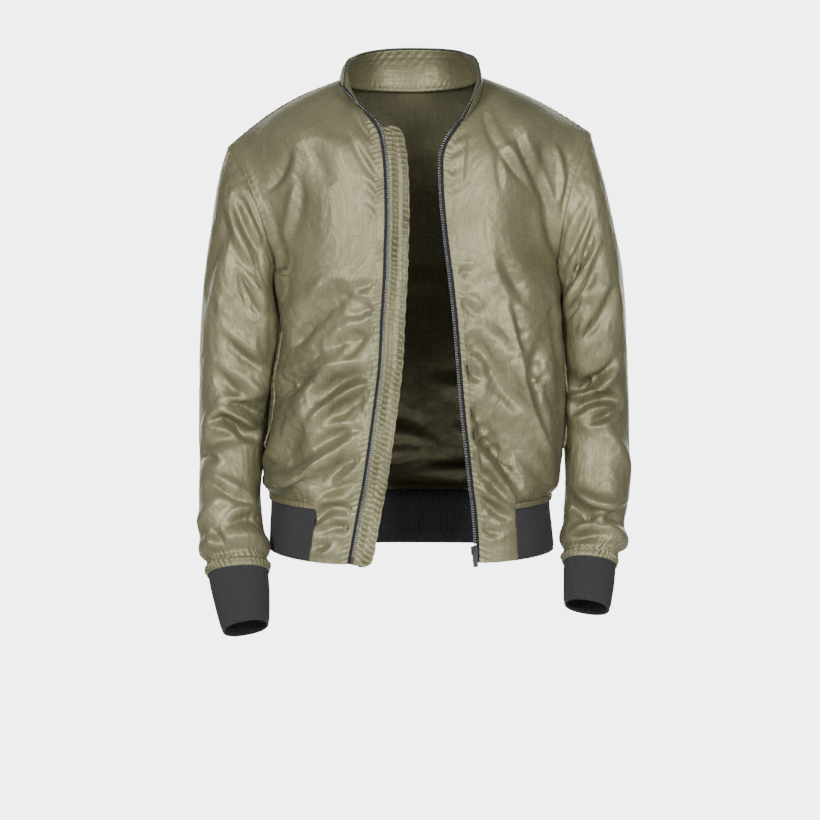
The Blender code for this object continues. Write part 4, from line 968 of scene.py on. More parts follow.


# Folds, in millimetres on the garment seen from the front or from behind: width,
# height (a trough is negative), the side of its direction that its companion lies on, and its way.
VIEW_FOLDS = (
    # the wearer's right front
    (9, -4.0, 1, ((-152, -72), (-163, -100), (-180, -122))),
    (9, 3.4, 1, ((-146, -111), (-151, -145), (-163, -194))),
    (17, -5.5, -1, ((-152, -196), (-163, -235), (-158, -275))),
    (6, -2.4, 1, ((-72, -24), (-58, -48), (-43, -70))),
    (6, -2.6, 1, ((-77, -52), (-60, -86), (-41, -112))),
    (5, -2.0, 1, ((-58, -112), (-40, -140))),
    (5, -1.6, 1, ((-56, -142), (-42, -164))),
    (24, -4.0, 1, ((-128, -58), (-118, -88), (-97, -120))),
    (8, -2.6, -1, ((-70, -252), (-40, -238))),
    (15, -4.2, 1, ((-118, -268), (-96, -256), (-66, -258))),
    (18, -6.5, 1, ((-152, -322), (-132, -296), (-108, -276), (-82, -266))),
    (9, 3.6, -1, ((-158, -322), (-146, -300), (-128, -277))),
    (12, -4.6, 1, ((-99, -324), (-72, -312), (-46, -303))),
    (8, -2.8, 1, ((-81, -337), (-68, -322), (-58, -310))),
    (8, -2.4, -1, ((-70, -282), (-44, -273))),
    (13, -5.5, 1, ((-164, -388), (-142, -366), (-113, -352))),
    (16, -6.5, 1, ((-134, -414), (-114, -386), (-90, -366), (-52, -352))),
    (14, -5.5, 1, ((-127, -440), (-106, -416), (-84, -402), (-54, -383))),
    (11, -4.2, 1, ((-124, -451), (-100, -434), (-72, -426))),
    (26, -6.0, -1, ((-164, -470), (-152, -444), (-140, -414))),
    (12, 7.0, 1, ((-176, -484), (-150, -488), (-112, -468), (-70, -434))),
    (12, -5.0, -1, ((-110, -497), (-92, -476), (-62, -458))),
    (10, -4.0, -1, ((-118, -512), (-92, -498), (-66, -490))),
    (10, -3.8, 1, ((-124, -548), (-112, -532), (-94, -523), (-68, -528))),
    (8, -3.0, 1, ((-118, -556), (-92, -548), (-70, -550))),
    (8, -2.6, -1, ((-121, -574), (-100, -568))),
    (9, 3.0, -1, ((-100, -392), (-72, -374), (-48, -368))),
    # the wearer's left front
    (8, -4.2, 1, ((88, -8), (104, -56), (128, -94), (149, -120))),
    (20, -3.8, 1, ((100, -20), (118, -52), (126, -68))),
    (8, -4.4, 1, ((138, -40), (138, -62), (152, -92), (166, -122), (187, -160))),
    (7, 3.2, 1, ((184, -62), (193, -95), (191, -156))),
    (10, -4.0, -1, ((170, -135), (178, -170), (187, -204))),
    (6, -1.8, 1, ((110, -74), (114, -124))),
    (6, 2.0, 1, ((70, -50), (66, -84), (64, -126))),
    (13, -4.2, -1, ((114, -206), (127, -230), (145, -266))),
    (8, -2.4, 1, ((62, -222), (74, -232))),
    (8, 4.4, 1, ((120, -258), (128, -300), (140, -358), (157, -410), (186, -468))),
    (18, -4.4, 1, ((68, -304), (96, -334), (116, -372), (148, -402))),
    (22, -7.5, -1, ((78, -390), (94, -426), (118, -462), (130, -500))),
    (12, -5.5, -1, ((74, -470), (98, -486), (122, -512))),
    (12, 5.0, 1, ((78, -452), (102, -470), (132, -518))),
    (12, -4.6, 1, ((167, -312), (160, -352), (172, -402))),
    (9, -3.0, 1, ((62, -262), (84, -284))),
    (10, -3.6, 1, ((62, -338), (88, -366))),
    (9, -3.2, -1, ((70, -424), (92, -446))),
    (9, -3.4, 1, ((80, -504), (106, -526), (128, -538))),
    (8, -2.8, -1, ((84, -548), (112, -556))),
    # the wearer's right sleeve
    (8, -4.0, 1, ((-226, -130), (-212, -166), (-195, -200))),
    (8, -3.8, 1, ((-208, -128), (-194, -158), (-182, -186))),
    (9, 3.4, -1, ((-236, -138), (-214, -190), (-200, -218))),
    (9, -4.6, 1, ((-220, -226), (-207, -256), (-190, -284))),
    (7, -2.6, 1, ((-259, -250), (-250, -282))),
    (10, -4.4, 1, ((-240, -306), (-216, -332), (-188, -350))),
    (12, -5.0, 1, ((-250, -350), (-222, -378), (-186, -398))),
    (9, -5.0, 1, ((-236, -392), (-214, -398), (-184, -410))),
    (8, 4.4, -1, ((-240, -404), (-212, -416), (-188, -440))),
    (9, -5.0, -1, ((-262, -418), (-232, -416), (-210, -438))),
    (7, -2.6, 1, ((-270, -458), (-244, -466))),
    (8, -3.2, 1, ((-266, -488), (-236, -504), (-196, -526))),
    (9, -4.2, 1, ((-230, -548), (-208, -538), (-184, -546))),
    (8, -3.2, -1, ((-252, -552), (-234, -570))),
    # the wearer's left sleeve
    (7, -3.6, 1, ((194, -142), (208, -110), (219, -78))),
    (8, -3.8, 1, ((196, -222), (216, -176), (235, -128))),
    (8, -4.2, 1, ((196, -246), (222, -206), (238, -160))),
    (9, 3.4, 1, ((196, -268), (226, -220), (242, -180))),
    (8, -4.2, 1, ((198, -290), (226, -240), (243, -196))),
    (9, -3.8, 1, ((218, -314), (244, -282), (262, -242))),
    (9, -4.8, -1, ((204, -374), (236, -366), (266, -334))),
    (9, 4.0, 1, ((204, -388), (232, -380), (258, -356))),
    (10, -5.2, -1, ((204, -410), (232, -388), (270, -390))),
    (8, -3.6, -1, ((230, -418), (268, -400))),
    (9, 5.0, -1, ((206, -502), (226, -514), (252, -524), (282, -514))),
    (10, -5.0, 1, ((200, -520), (222, -536), (246, -544))),
    (8, 4.0, 1, ((206, -558), (232, -542), (252, -532))),
    (9, -4.4, -1, ((202, -566), (226, -560), (258, -558))),
)
REAR_FOLDS = (
    (12, -4.5, 1, ((-178, -110), (-150, -150), (-120, -176))),
    (9, -3.6, 1, ((-184, -150), (-150, -190), (-128, -232))),
    (12, -4.2, -1, ((176, -112), (146, -156), (122, -186))),
    (9, -3.6, -1, ((184, -156), (160, -200), (130, -226))),
    (26, -4.0, 1, ((-70, -60), (-20, -76), (50, -62))),
    (20, -3.4, 1, ((-92, -210), (-30, -236), (40, -226))),
    (16, -5.0, 1, ((-150, -330), (-96, -356), (-44, -350))),
    (16, -5.0, -1, ((150, -342), (92, -372), (34, -366))),
    (14, 5.0, 1, ((-158, -372), (-104, -398), (-50, -402))),
    (15, -5.5, 1, ((-150, -430), (-92, -446), (-30, -436), (30, -448))),
    (13, -5.0, -1, ((156, -416), (110, -436), (64, -430))),
    (12, 5.0, 1, ((-120, -470), (-50, -480), (20, -470))),
    (12, -4.6, -1, ((140, -474), (80, -488), (20, -486))),
    (10, -4.2, 1, ((-150, -494), (-110, -500), (-70, -494))),
    (9, -4.4, 1, ((-226, -140), (-206, -176), (-190, -214))),
    (9, -4.2, 1, ((-238, -196), (-220, -240), (-196, -268))),
    (10, -4.8, 1, ((-252, -330), (-222, -350), (-190, -348))),
    (9, 4.2, 1, ((-256, -362), (-224, -382), (-190, -378))),
    (10, -5.2, -1, ((-258, -392), (-226, -402), (-190, -412))),
    (9, -3.6, 1, ((-262, -462), (-230, -480), (-200, -480))),
    (9, -4.0, -1, ((-262, -530), (-232, -538), (-198, -530))),
    (9, -4.4, -1, ((226, -144), (208, -184), (192, -220))),
    (9, -4.2, -1, ((240, -200), (220, -246), (198, -276))),
    (10, -4.8, 1, ((262, -336), (230, -352), (198, -350))),
    (9, 4.2, 1, ((266, -366), (234, -386), (200, -386))),
    (10, -5.2, -1, ((268, -400), (238, -408), (202, -420))),
    (9, -3.6, 1, ((270, -468), (240, -484), (208, -488))),
    (9, -4.0, 1, ((272, -532), (244, -540), (212, -536))),
)


def fold_relief(points, normals, folds, view):
    """How far the folds of one side's list raise each point along its normal, in metres."""
    relief = np.zeros(points.shape[:-1])
    flat = points[..., [0, 2]] * 1000
    for width, height, side, way in folds:
        way = np.array(way, float)
        knots = np.arange(len(way), dtype=float)
        curve = spline(knots, way, np.linspace(0, knots[-1], 8 * len(way)))
        low, high = curve.min(axis=0) - 4 * width, curve.max(axis=0) + 4 * width
        near = ((flat > low) & (flat < high)).all(axis=-1)
        if not near.any():
            continue
        p = flat[near]
        best = np.full(len(p), np.inf)
        signed, share = np.zeros(len(p)), np.zeros(len(p))
        for k in range(len(curve) - 1):
            a, run = curve[k], curve[k + 1] - curve[k]
            t = np.clip(((p - a) @ run) / (run @ run), 0, 1)
            off = p - a - t[:, None] * run
            d = np.hypot(off[:, 0], off[:, 1])
            closer = d < best
            best = np.where(closer, d, best)
            turned = np.where(run[0] * off[:, 1] - run[1] * off[:, 0] < 0, -d, d)
            signed = np.where(closer, turned, signed)
            share = np.where(closer, (k + t) / (len(curve) - 1), share)
        taper = np.sin(math.pi * np.clip(share, 0.02, 0.98)) ** 0.7
        narrow = width * (0.55 + 0.45 * taper)
        sharp = np.hypot(signed, 0.22 * narrow) - 0.22 * narrow
        main = bell(sharp, 0.62 * narrow, 1.35)
        beside = bell(signed - side * 1.35 * narrow, 0.8 * narrow)
        relief[near] += height / 1000 * taper * (main - 0.55 * beside)
    facing = np.clip(normals[..., 1] * view * 2.2 - 0.15, 0, 1)
    return relief * facing


def fine_panel(name, grid, finishes, places):
    """One shell panel at its final spacing, with its seams' valleys and puckers."""
    wrap = name.startswith("sleeve")
    flip = name in ("front_left", "sleeve_left")
    rib = int(np.searchsorted(places, HEM_SEAM))
    if name == "back":
        grid = grid[rib:]
    rows, width = grid.shape[:2]
    heights = lengths(grid, 0).mean(axis=1)
    tall = heights[-1]
    closed = np.concatenate([grid, grid[:, :1]], axis=1) if wrap else grid
    wide = lengths(closed, 1)[:, -1].mean()
    step = PANEL_STEP[name.split("_")[0]]
    down = np.interp(edge_spaced(tall, 0.024, step[0] * 0.6, step[0]), heights, np.arange(rows))
    if wrap:
        over = np.linspace(0, width, int(wide / step[1]) + 1)[:-1]
    else:
        over = edge_spaced(wide, 0.012, 0.0015, step[1]) / wide * (width - 1)
    fine = resampled(grid, down, over, wrap)
    up = np.interp(down, np.arange(len(places)), places)
    across, along = lengths(fine, 1), lengths(fine, 0)
    normals = grid_normals(fine, flip, wrap)
    relief = fold_relief(fine, normals, VIEW_FOLDS, -1) + fold_relief(fine, normals, REAR_FOLDS, 1)
    low = eased((-0.22 - fine[..., 2]) / 0.12)
    relief *= FOLD_SCALE * (1 + FOLD_SCALE_LOW * low) * fold_hold(name, across, along)
    if wrap:
        round_way = across + 0.05
        relief += seam_relief(along, round_way, pucker=0.0012, seed=11)
        seam = np.array([np.interp(rows - 4, down, column) for column in along.T])
        above = seam - along
        relief += gathers(np.where(above < 0, above * 4, above), round_way, 0.0034, 0.018, 0.0068)
        relief -= 0.0006 * bell(above + 0.0028, 0.0008)
        roll = 0.030 + 0.006 * smooth_noise(round_way, 0.07, 45)
        relief += 0.0050 * bell(above - roll, 0.010)
        relief -= 0.0030 * bell(above - roll + 0.017, 0.006)
    else:
        last = across[:, -1:]
        if name == "back":
            above, beyond = along, np.ones_like(across)
        else:
            above = along - np.interp(HEM_SEAM, up, along[:, 0])
            beyond = np.clip((over[None] / (width - 1) - TAB_CELLS / FRONT_CELLS + 0.08) / 0.12, 0, 1)
        blouse = bell(above - 0.016, 0.011) * np.clip(above / 0.006, 0, 1)
        uneven = 0.7 + 0.45 * smooth_noise(across, 0.05, 17)
        relief += (0.0058 * uneven * blouse + gathers(np.abs(above), across, 0.0026, 0.014, 0.0068)) * beyond
        relief += seam_relief(last - across, along, pucker=0.0008, seed=3)
        if name == "back":
            relief += seam_relief(across, along, pucker=0.0008, seed=5)
        else:
            relief += zip_puckers(across, along, 21 if name == "front_right" else 33)
    fine = fine + normals * relief[..., None]
    skip = None
    if name.startswith("front"):
        fine[..., 2] += 0.0016 * smooth_noise(across, 0.022, 19) * np.exp(-along / 0.02)
        far = over / (width - 1)
        skip = (up[:-1, None] < HEM_SEAM - 1e-6) & (far[None, :-1] > TAB_CELLS / FRONT_CELLS - 1e-6)
    piece = grid_object(name + "_cloth", fine, finishes, flip, wrap, skip)
    return piece, fine


def fold_hold(name, across, along):
    """The folds die out at the seams that hold the cloth."""
    below, above = along, along[-1:] - along
    if name.startswith("sleeve"):
        return np.clip(below / 0.012, 0.1, 1) * np.clip(above / 0.02, 0, 1)
    hold = np.clip(above / 0.03, 0.1, 1) * np.clip(below / 0.012, 0.1, 1)
    if name != "back":
        hold = hold * np.clip((across - 0.002) / 0.012, 0, 1)
    return hold * np.clip((across[:, -1:] - across) / 0.012, 0.15, 1)


def zip_puckers(across, along, seed):
    """The stitched strip beside the zip, pulled into short slanting puckers."""
    lean = along + across * 0.35
    ripple = np.sin(2 * math.pi * lean / 0.0072 + 4.0 * smooth_noise(along, 0.02, seed))
    strength = np.clip(0.6 + 0.7 * smooth_noise(along, 0.025, seed + 1), 0.1, 1.3)
    near = bell(across - 0.005, 0.006, 4)
    groove = bell(across - ZIP_STITCH, 0.0012)
    drawn = along - across * 0.55
    pull = np.sin(2 * math.pi * drawn / 0.024 + 5.0 * smooth_noise(along, 0.06, seed + 2))
    reach = 0.016 + 0.012 * smooth_noise(along, 0.05, seed + 3)
    spread = np.exp(-np.clip(across - 0.010, 0, None) / reach) * np.clip((across - 0.006) / 0.008, 0, 1)
    power = np.clip(0.5 + 0.8 * smooth_noise(along, 0.045, seed + 4), 0, 1.3)
    return near * ripple * strength * 0.0010 - groove * 0.0006 + spread * pull * power * 0.0016


def gathers(distance, along, height=0.0022, reach=0.013, pitch=0.0052):
    """Fine pleats where the cloth is gathered into a rib."""
    bunched = along + 0.004 * smooth_noise(along, 0.02, 41)
    ripple = np.abs(np.sin(math.pi * bunched / pitch)) * 2 - 1.2
    strength = 0.6 + 0.5 * smooth_noise(along, 0.03, 43)
    return height * ripple * strength * bell(distance, reach)


def knit_ribs(name, grid, flip, wrap, finish, pitch=0.0026, height=0.0009):
    """A rib-knit band: raised ribs up the band, from its rows of points."""
    closed = np.concatenate([grid, grid[:, :1]], axis=1) if wrap else grid
    wide = lengths(closed, 1).max(axis=1).mean()
    ribs = int(wide / pitch)
    per = 5
    cells = grid.shape[1] if wrap else grid.shape[1] - 1
    columns = np.arange(ribs * per + (0 if wrap else 1)) * cells / (ribs * per)
    rows = np.linspace(0, grid.shape[0] - 1, 11)
    fine = resampled(grid, rows, columns, wrap)
    normals = grid_normals(fine, flip, wrap)
    phase = np.arange(fine.shape[1]) / per
    ridge = np.abs(np.sin(math.pi * phase)) ** 0.7
    share = np.linspace(0, 1, len(rows))
    ends = np.clip(np.minimum(share, 1 - share) * 9, 0, 1) ** 0.5
    loose = 0.0008 * smooth_noise(phase * pitch, 0.045, 61)[None, :] * np.sin(math.pi * share)[:, None]
    raise_by = (ridge - 0.8)[None, :] * height * (0.35 + 0.65 * ends)[:, None]
    raise_by = raise_by - 0.0010 * (1 - ends)[:, None] + loose
    fine = fine + normals * raise_by[..., None]
    return grid_object(name, fine, finish, flip, wrap, wall=0.0022)


def teeth(name, frames, start, finish, pitch=0.0031):
    """Moulded zip teeth along the tape's edge."""
    _, far = along_edge(frames, [0])
    at = np.arange(start, far[-1] - 0.001, pitch)
    (points, across, out, along), _ = along_edge(frames, at)
    level = -(SHELL_WALL + STACK_GAP) - TAPE_WALL / 2
    shape = (  # across, half length and half height: root, waist, head and rounded end
        (0.0, 0.0007, 0.0011),
        (0.0016, 0.0006, 0.0012),
        (0.0030, 0.0009, 0.0013),
        (0.0040, 0.0007, 0.0010),
    )
    verts, faces = [], []
    for p, a, o, t in zip(points, across, out, along):
        base = len(verts)
        middle = p + a * (TAPE_SHOWS + STACK_GAP / 2) + o * level
        for reach, half, tall in shape:
            for s, h in ((-1, -1), (1, -1), (1, 1), (-1, 1)):
                verts.append(middle + a * reach + t * s * half + o * h * tall)
        for k in range(len(shape) - 1):
            here, there = base + 4 * k, base + 4 * k + 4
            for c in range(4):
                d = (c + 1) % 4
                faces.append((here + c, here + d, there + d, there + c))
        top = base + 4 * (len(shape) - 1)
        faces += [(base + 3, base + 2, base + 1, base), (top, top + 1, top + 2, top + 3)]
    made = mesh_object(name, verts, faces, finish)
    soften = made.modifiers.new("edges", "BEVEL")
    soften.width, soften.segments = 0.0003, 1
    return made


def read_at(values, far, s):
    """A line's values (x, y, z) at the distance s along it."""
    return np.array([np.interp(s, far, values[:, k]) for k in range(3)])


def stitches(name, lines, finish, pitch=0.0034, long=0.0025, thick=0.00035):
    """Thread along each line of points: (points, outward normals)."""
    verts, faces = [], []
    for points, normals in lines:
        far = run_lengths(points)
        for s in np.arange(pitch / 2, far[-1] - pitch / 2, pitch):
            ends = [read_at(points, far, s + d) for d in (-long / 2, long / 2)]
            n = unit(read_at(normals, far, s))
            way = unit(ends[1] - ends[0])
            side = np.cross(way, n)
            base = len(verts)
            for share, size, lift in ((0, 0.45, -0.3), (0.25, 1, 0.35), (0.75, 1, 0.35), (1, 0.45, -0.3)):
                c = ends[0] * (1 - share) + ends[1] * share + n * thick * lift
                for u, v in ((-1, 0), (-0.5, 0.87), (0.5, 0.87), (1, 0), (0, -0.8)):
                    verts.append(c + (side * u + n * v) * thick * size)
            for k in range(3):
                here, there = base + 5 * k, base + 5 * k + 5
                for c in range(5):
                    d = (c + 1) % 5
                    faces.append((here + c, here + d, there + d, there + c))
            faces += [tuple(base + c for c in range(5)), tuple(base + 15 + c for c in reversed(range(5)))]
    return mesh_object(name, verts, faces, finish)


def path_on(fine, flip, wrap, rows, columns, lift=0.0002):
    """Points and outward normals of a fine panel at fractional rows and columns, paired."""
    normals = grid_normals(fine, flip, wrap)
    width = fine.shape[1]
    i, j = np.asarray(rows, float), np.asarray(columns, float)
    a = np.clip(np.floor(i).astype(int), 0, fine.shape[0] - 2)
    b = np.floor(j).astype(int)
    if not wrap:
        b = np.clip(b, 0, width - 2)
    u, v = (i - a)[:, None], (j - b)[:, None]
    b, c = b % width, (b + 1) % width

    def read(field):
        low = field[a, b] * (1 - v) + field[a, c] * v
        high = field[a + 1, b] * (1 - v) + field[a + 1, c] * v
        return low * (1 - u) + high * u

    n = unit(read(normals))
    return read(fine) + n * lift, n


def column_at(fine, distance):
    """For each row, the fractional column that lies a distance in from the panel's edge."""
    columns = np.arange(fine.shape[1], dtype=float)
    return np.array([np.interp(distance, row, columns) for row in lengths(fine, 1)])


# ---------------------------------------------------------------- making the pieces


def leaned(name, grid):
    """The sleeves' inner faces and the body's sides fill out until they touch below the armpits."""
    wrap = name.startswith("sleeve")
    normals = grid_normals(grid, name in ("front_left", "sleeve_left"), wrap)
    height = grid[..., 2]
    beside = bell(height + 0.325, 0.118, 4)
    if wrap:
        side = RIGHT if name.endswith("right") else LEFT
        facing = np.clip(-normals[..., 0] * side * 1.6 - 0.4, 0, 1)
    else:
        facing = np.clip(np.abs(normals[..., 0]) * 2.0 - 0.8, 0, 1)
    lean = 0.0074 * beside + 0.0030 * bell(height + 0.268, 0.035)
    return grid + normals * (lean * facing)[..., None]


def cuff_band(side, turns, last):
    """Rings that carry the sleeve's end in to the cuff and 5 mm down it, as its seam band."""
    rings = cuff_grid(side, turns, [0.0, 0.02, 0.20, 0.215])
    middle = rings.mean(axis=1, keepdims=True)
    out = unit(rings - middle)
    rings = rings + out * np.array([0.0026, 0.0022, 0.0019, 0.0004])[:, None, None]
    turned = last * 0.45 + rings[0] * 0.55 + out[0] * 0.0012
    return np.concatenate([turned[None], rings])


def make_shell(mats):
    panels, places = drawn_shell()
    for name, settled in settle(panels, places).items():
        panels[name] = panels[name] + (settled - panels[name]) * kept_share(name, places)
    panels = {name: leaned(name, grid) for name, grid in panels.items()}
    fine = {}
    armhole_places = places[SIM_ROWS[0] + SIM_ROWS[1] : sum(SIM_ROWS[:3]) + 1]
    turns = np.concatenate(armhole_turns(armhole_places))
    for side, tag in SIDES:
        name = "sleeve_" + tag
        panels[name] = np.concatenate([panels[name], cuff_band(side, turns, panels[name][-1])])
    for name, grid in panels.items():
        piece, fine[name] = fine_panel(name, grid, [mats["nylon"], mats["nylon_inside"]], places)
        place_piece(piece, name)
    return panels, fine, places


def make_ribs(panels, places, mats):
    rib = int(np.searchsorted(places, HEM_SEAM))
    beyond_tab = np.linspace(TAB_CELLS / FRONT_CELLS * SIM_FRONT, SIM_FRONT, 28)
    right, left = (
        resampled(panels["front_" + tag][: rib + 1], np.arange(rib + 1), beyond_tab) for _, tag in SIDES
    )
    drawn = back_grid(places[: rib + 1], np.linspace(0, 1, SIM_BACK + 1))
    grid = np.concatenate([right, drawn[:, 1:-1], left[:, ::-1]], axis=1)
    piece = knit_ribs("hem_rib_knit", grid, False, False, mats["rib_knit"])
    place_piece(piece, "hem_rib")
    out = grid_normals(grid)[-1]
    down = unit(grid[-2] - grid[-1])
    ways = (  # down from the seam, and out
        (-0.0020, 0.0), (-0.0008, 0.0022), (0.0012, 0.0026),
        (0.0048, 0.0022), (0.0055, 0.0016), (0.0058, 0.0002),
    )
    band = np.array([grid[-1] + down * d + out * o for d, o in ways])[::-1]
    band = resampled(band, np.linspace(0, 5, 16), np.linspace(0, band.shape[1] - 1, 500))
    far = lengths(band, 1)
    band = band + grid_normals(band) * gathers(0.008, far, 0.0009, 0.02, 0.0060)[..., None]
    piece = grid_object("hem_band_cloth", band, mats["nylon"], wall=0.0008)
    place_piece(piece, None)
    for side, tag in SIDES:
        turns = np.linspace(0, 1, 65)[:-1]
        grid = cuff_grid(side, turns, np.linspace(0, len(CUFFS[side]) - 1, 12))
        name = f"cuff_{tag}_knit"
        piece = knit_ribs(name, grid, side > 0, True, mats["rib_knit"], pitch=0.0023, height=0.0007)
        place_piece(piece, "cuff_" + tag)


def collar_surfaces(panels):
    """The collar's outer and inner faces, from the settled neck seam up to its top edge."""
    fronts = panels["front_right"][-1], panels["front_left"][-1][::-1]
    base = np.concatenate([fronts[0], panels["back"][-1, 1:-1], fronts[1]])
    half = len(base) // 2
    shares = np.linspace(0, 1, half + 1)
    top = np.concatenate([collar_top(RIGHT, shares), collar_top(LEFT, shares[:-1])[::-1]])
    rise = np.linspace(0, 1, 9)[:, None, None]
    grid = base[None] * (1 - rise) + top[None] * rise
    outward = grid_normals(grid)
    ends = np.minimum(np.arange(len(base)), np.arange(len(base))[::-1]) / 18.0
    bow = COLLAR_BOW * np.clip(ends - 0.3, 0, 1)[None, :, None]
    return grid + outward * bow * np.sin(math.pi * rise)


def make_collar(panels, mats):
    coarse = collar_surfaces(panels)
    columns = np.linspace(0, coarse.shape[1] - 1, 420)
    outer = resampled(coarse, np.linspace(0, 8, 34), columns)
    normals = grid_normals(outer)
    across, along = lengths(outer, 1), lengths(outer, 0)
    below = along[-1:] - along
    relief = seam_relief(along, across, pucker=0.0007, seed=51)
    ripple = np.sin(2 * math.pi * across / 0.013 + 5 * smooth_noise(across, .03, 53))
    relief += 0.0006 * ripple * bell(below, .016)
    relief -= 0.0007 * bell(below - COLLAR_STITCH, 0.0012)
    skin = outer + normals * relief[..., None]
    piece = grid_object("collar_cloth", skin, mats["nylon"], wall=0.0012)
    place_piece(piece, "collar")
    inside = outer - normals * (0.0030 - 0.6 * relief[..., None])
    lower = unit(inside[0] - inside[2]) * 0.0045
    inside = np.concatenate([(inside[0] + lower - normals[0] * 0.0008)[None], inside])
    piece = grid_object("collar_facing_cloth", inside, mats["nylon"], wall=0.0011)
    place_piece(piece, "collar_facing")
    return outer, normals, skin


def tube(name, centre, radius, finish, sides=10):
    """A round cord along a line of points."""
    along = unit(np.gradient(centre, axis=0))
    up = unit(np.cross(along, np.roll(along, 1, axis=1) + 0.3))
    side = np.cross(along, up)
    turn = np.linspace(0, 2 * math.pi, sides, endpoint=False)
    c, s = np.cos(turn)[:, None], np.sin(turn)[:, None]
    grid = centre[:, None] + radius * (side[:, None] * c + up[:, None] * s)
    return grid_object(name, grid, finish, wrap=True, wall=0)


def make_piping(outer, normals, mats):
    up = unit(outer[-1] - outer[-2])
    centre = outer[-1] - normals[-1] * 0.0018 + up * 0.0014
    piece = tube("collar_piping_cord", centre, 0.0013, mats["piping"])
    place_piece(piece, "collar_piping")


def make_zip(panels, collar, mats):
    made = {}
    for side, tag in SIDES:
        front = panels["front_" + tag]
        frames = zip_frames(side, front, collar)
        made[side] = frames
        stops = TAPE_STARTS[side]
        _, far = along_edge(frames, [0])
        stations = np.concatenate([stops, np.arange(stops[-1] + 0.003, far[-1], 0.003), [far[-1]]])
        neck = far[len(front) - 1]
        under = np.where(stations < neck - 0.03, -TAPE_UNDER, TAPE_CLEAR)
        shows = np.full(len(stations), TAPE_SHOWS + 0.0006)
        points, across, out, _ = along_edge(frames, stations)[0]
        level = -(SHELL_WALL + STACK_GAP) - TAPE_WALL / 2
        share = np.linspace(0, 1, 6)[None, :, None]
        reach = under[:, None, None] * (1 - share) + shows[:, None, None] * share
        ripple = 0.0003 * smooth_noise(stations, 0.012, 71 + side)[:, None, None]
        grid = points[:, None] + across[:, None] * reach + out[:, None] * (level + ripple)
        piece = grid_object(f"zip_tape_{tag}_cloth", grid, mats["zip_tape"], wall=0.0008)
        place_piece(piece, "zip_tape_" + tag)
        piece = teeth(f"zip_teeth_{tag}", frames, CHAIN_FROM[side], mats["zip_teeth"])
        place_piece(piece, "zip_chain_" + tag)
    return made


def make_guard(frames, mats):
    """The stitched strip behind the right row of teeth. Returns its stitch lines."""
    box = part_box("zip_guard")
    tall = (box[1][2] - box[0][2]) * 1.005  # its length along the edge, which leans a little
    stations = np.arange(0, tall, 0.0015)
    points, across, out, _ = along_edge(frames, stations)[0]
    hold = int(np.searchsorted(stations, GUARD_STRAIGHT_SHARE * tall))
    across[hold:], out[hold:] = across[hold], out[hold]
    inset = np.clip(GUARD_ROUND - np.minimum(stations, tall - stations), 0, None)
    reach = GUARD_SHOWS - GUARD_ROUND + np.sqrt(np.maximum(GUARD_ROUND**2 - inset**2, 0))
    turned = np.clip((stations - stations[hold]) / (tall - stations[hold]), 0, 1)
    level = -(SHELL_WALL + TAPE_WALL / 2 + CHAIN_WALL / 2 + 3 * STACK_GAP + GUARD_TOP_BACK * turned)
    near = GUARD_TOP_REACH * turned - GUARD_UNDER
    edge_wave = 0.0004 * np.sin(2 * math.pi * stations / 0.019 + 2 * smooth_noise(stations, 0.05, 81))
    reach = reach + edge_wave * np.clip(inset == 0, 0, 1)
    share = np.linspace(0, 1, 34)[None, :]
    wide = near[:, None] * (1 - share) + reach[:, None] * share
    s = stations[:, None] + 0 * wide
    bumps = np.zeros_like(wide)
    for k, (row, pitch) in enumerate(zip(GUARD_ROWS, GUARD_PITCHES)):
        band = bell(wide - row - 0.0035, 0.0038)
        ripple = np.sin(2 * math.pi * (s + 0.3 * (wide - row)) / pitch + 3.4 * smooth_noise(s, 0.03, 83 + k))
        power = np.clip(0.6 + 0.7 * smooth_noise(s, 0.04, 93 + k), 0.05, 1.3)
        bumps += band * ripple * power * 0.0023
        bumps -= bell(wide - row, 0.0009) * 0.0008
    bumps *= np.clip((reach[:, None] - wide) / 0.0025, 0.2, 1)
    bumps += 0.0010 * smooth_noise(s + 1.0, 0.06, 99)
    height = level[:, None] + bumps - 0.0004
    grid = points[:, None] + across[:, None] * wide[..., None] + out[:, None] * height[..., None]
    piece = grid_object("zip_guard_cloth", grid, mats["nylon"], wall=0.0014)
    place_piece(piece, "zip_guard")
    lines = []
    for row in GUARD_ROWS:
        columns = np.array([np.interp(row, w, np.arange(34.0)) for w in wide])
        keep = slice(3, len(stations) - 3)
        lines.append(path_on(grid, False, False, np.arange(len(stations), dtype=float)[keep], columns[keep]))
    return lines


